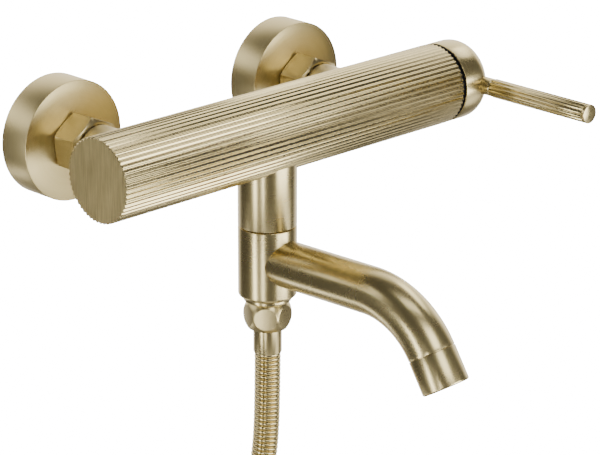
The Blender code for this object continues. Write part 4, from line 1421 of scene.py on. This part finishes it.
@dataclass
class SwivelSpout:
    """The barrel that turns on the stem, the bent spout and the aerator at its tip."""

    book: FinishBook
    barrel_radius: float = 14.7 * MM
    barrel_top: float = -47.6 * MM
    barrel_bottom: float = -84.4 * MM
    level: float = -65.1 * MM
    radius: float = 11.8 * MM
    straight: float = 66.8 * MM
    bend_radius: float = 45.4 * MM
    bend: float = math.radians(58.6)
    sleeve_length: float = 18 * MM
    # How far from the barrel's axis the tube starts.
    root: float = 8 * MM

    def build(self) -> None:
        """Make the barrel, the spout, the sleeve and the jet former, and hang them on the spout."""
        finish = turned_gold("stem", (STEM_X, BODY_Y, 0.0), (0.0, 0.0, 1.0))
        tip = on_spout() @ self.tip_place()
        hang = self.book.hang
        hang(self.turn_barrel(), on_spout(), 30, finish, "spout", "spout_barrel")
        hang(self.bend_spout(), on_spout(), 24, TUBE_GOLD, "spout", "spout_tube")
        hang(self.turn_sleeve(), tip, 30, TUBE_GOLD, "spout", "aerator_sleeve")
        hang(self.mould_former(), tip, 30, WHITE_ACETAL, "spout", "jet_former", slot="white_plastic")
        LOG.info("swivel barrel, spout and aerator")

    def tip_place(self) -> Matrix:
        """Return where the bend ends, in the spout's own frame, with +Z along the tube."""
        forward = self.straight + self.bend_radius * math.sin(self.bend)
        drop = self.bend_radius * (1 - math.cos(self.bend))
        move = Matrix.Translation((0, -forward, self.level - drop))
        return move @ Matrix.Rotation(math.pi / 2 + self.bend, 4, "X")

    def turn_barrel(self) -> bpy.types.Object:
        """Turn the barrel with its rounded foot, and return it."""
        radius = self.barrel_radius
        top = self.barrel_top
        bottom = self.barrel_bottom
        foot = round_corner((radius - 2.0 * MM, bottom + 2.0 * MM), 2.0 * MM, 0, -90, 8)
        section = [
            (12 * MM, top),
            (radius - 0.5 * MM, top),
            (radius - 0.15 * MM, top - 0.2 * MM),
            (radius, top - 0.55 * MM),
            *foot,
            (9.7 * MM, bottom),
            (9.7 * MM, bottom + 2 * MM),
            (12 * MM, bottom + 2 * MM),
        ]
        return turn_on_lathe("swivel_barrel", section, 128)

    def bend_spout(self) -> bpy.types.Object:
        """Draw the spout straight out, bend it down, fit it to the barrel and return it."""
        bpy.ops.mesh.primitive_circle_add(
            vertices=80,
            radius=self.radius,
            location=(0, -self.root, self.level),
            rotation=(math.pi / 2, 0, 0),
        )
        spout = take_new("bent_spout")
        start_edit(spout)
        forward = (0, -(self.straight - self.root), 0)
        bpy.ops.mesh.extrude_region_move(TRANSFORM_OT_translate={"value": forward})
        centre = (0, -self.straight, self.level - self.bend_radius)
        bpy.ops.mesh.spin(steps=32, angle=-self.bend, center=centre, axis=(1, 0, 0))
        bpy.ops.mesh.edge_face_add()
        choose(spout, lambda v: abs(v.co.y + self.root) < MERGE)
        bpy.ops.mesh.edge_face_add()
        close_up()
        end_edit()
        post = [
            (0, -100 * MM),
            (self.barrel_radius + 0.25 * MM, -100 * MM),
            (self.barrel_radius + 0.25 * MM, -30 * MM),
            (0, -30 * MM),
        ]
        carve(spout, turn_on_lathe("saddle", post, 160))
        break_edges(spout, 0.4 * MM, 3, 40)
        return spout

    def turn_sleeve(self) -> bpy.types.Object:
        """Turn the aerator's sleeve with its rounded lip, and return it."""
        outer = self.radius + 0.1 * MM
        length = self.sleeve_length
        lip = round_corner((outer - 1.1 * MM, length - 1.1 * MM), 1.1 * MM, 0, 90, 6)
        section = [
            (10.7 * MM, 0.0),
            (outer - 0.5 * MM, 0.0),
            (outer - 0.5 * MM, 0.3 * MM),
            (outer - 0.3 * MM, 0.3 * MM),
            (outer - 0.08 * MM, 0.4 * MM),
            (outer, 0.65 * MM),
            *lip,
            (9.9 * MM, length),
            (9.6 * MM, length - 0.4 * MM),
            (9.6 * MM, 5.9 * MM),
            (10.7 * MM, 5.9 * MM),
        ]
        return turn_on_lathe("aerator_sleeve_turned", section, 96)

    def mould_former(self) -> bpy.types.Object:
        """Mould the jet former with its rim and two rings of nozzles, and return it."""
        front = self.sleeve_length - 1 * MM
        section = [
            (0, front - 9 * MM),
            (9.3 * MM, front - 9 * MM),
            (9.3 * MM, front),
            (8.5 * MM, front),
            (8.3 * MM, front - 0.9 * MM),
            (0, front - 0.9 * MM),
        ]
        former = turn_on_lathe("aerator_jet_former", section, 64)
        nozzle_section = [
            (0, front - 1.4 * MM),
            (0.95 * MM, front - 1.4 * MM),
            (0.7 * MM, front + 0.3 * MM),
            (0.45 * MM, front + 0.3 * MM),
            (0.4 * MM, front - 0.5 * MM),
            (0, front - 0.5 * MM),
        ]
        nozzle = turn_on_lathe("nozzle", nozzle_section, 20)
        copies = []
        for count, circle in ((12, 6.4 * MM), (6, 3.2 * MM), (1, 0.0)):
            for index in range(count):
                angle = math.tau * index / count
                move = Matrix.Translation((circle * math.cos(angle), circle * math.sin(angle), 0))
                copy = bpy.data.objects.new(f"nozzle_{len(copies)}", nozzle.data.copy())
                copy.data.transform(move)
                bpy.context.scene.collection.objects.link(copy)
                copies.append(copy)
        bpy.data.objects.remove(nozzle)
        pick(former)
        for copy in copies:
            copy.select_set(True)
        bpy.ops.object.join()
        return former


# --- Parts kept as the frame gives them ---------------------------------------
@dataclass
class InnerParts:
    """The parts inside the mixer, shown as they are with their own finishes."""

    book: FinishBook
    nodes: dict[str, bpy.types.Object]
    plan: Sequence[tuple[Finish, Sequence[str]]] = (
        (MACHINED_BRASS, ("waterway_core", "cartridge_nut", "tail_nipple_left", "tail_nipple_right")),
        (MACHINED_BRASS, ("swivel_post", "spout_spigot")),
        (PIN_STEEL, ("pivot_pin", "lever_spindle", "grub_screw")),
        (WHITE_ACETAL, ("cartridge_base", "cartridge_housing", "cartridge_rotor", "diverter_sleeve")),
        (BLACK_NYLON_AND_GAP_SHADE, ("cover_ring", "disc_carrier")),
        (ALUMINA, ("fixed_ceramic_disc", "moving_ceramic_disc")),
        (NITRILE, ("swivel_o_ring_upper", "swivel_o_ring_lower", "aerator_seal", "hose_washer")),
        (FIBRE, ("inlet_washer_left", "inlet_washer_right")),
    )

    def dress(self) -> None:
        """Give each part its finish."""
        for finish, names in self.plan:
            for name in names:
                self.book.dress(self.nodes[name], finish)
        LOG.info("inner parts dressed")


def main() -> None:
    """Build the mixer's looks round its frame."""
    logging.basicConfig(level=logging.INFO, format="%(message)s")
    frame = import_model()
    book = FinishBook()
    studio = Studio()
    studio.place_camera()
    ShowerHose(book).build_tube()
    WallInlet(book, "left", -75 * MM).build()
    WallInlet(book, "right", 75 * MM).build()
    MixerBody(book).build()
    HubAndLever(book).build()
    OutletStem(book).build()
    SwivelSpout(book).build()
    InnerParts(book, frame["nodes"]).dress()
    studio.place_lamps()
    studio.build_cove()


if __name__ == "__main__":
    main()
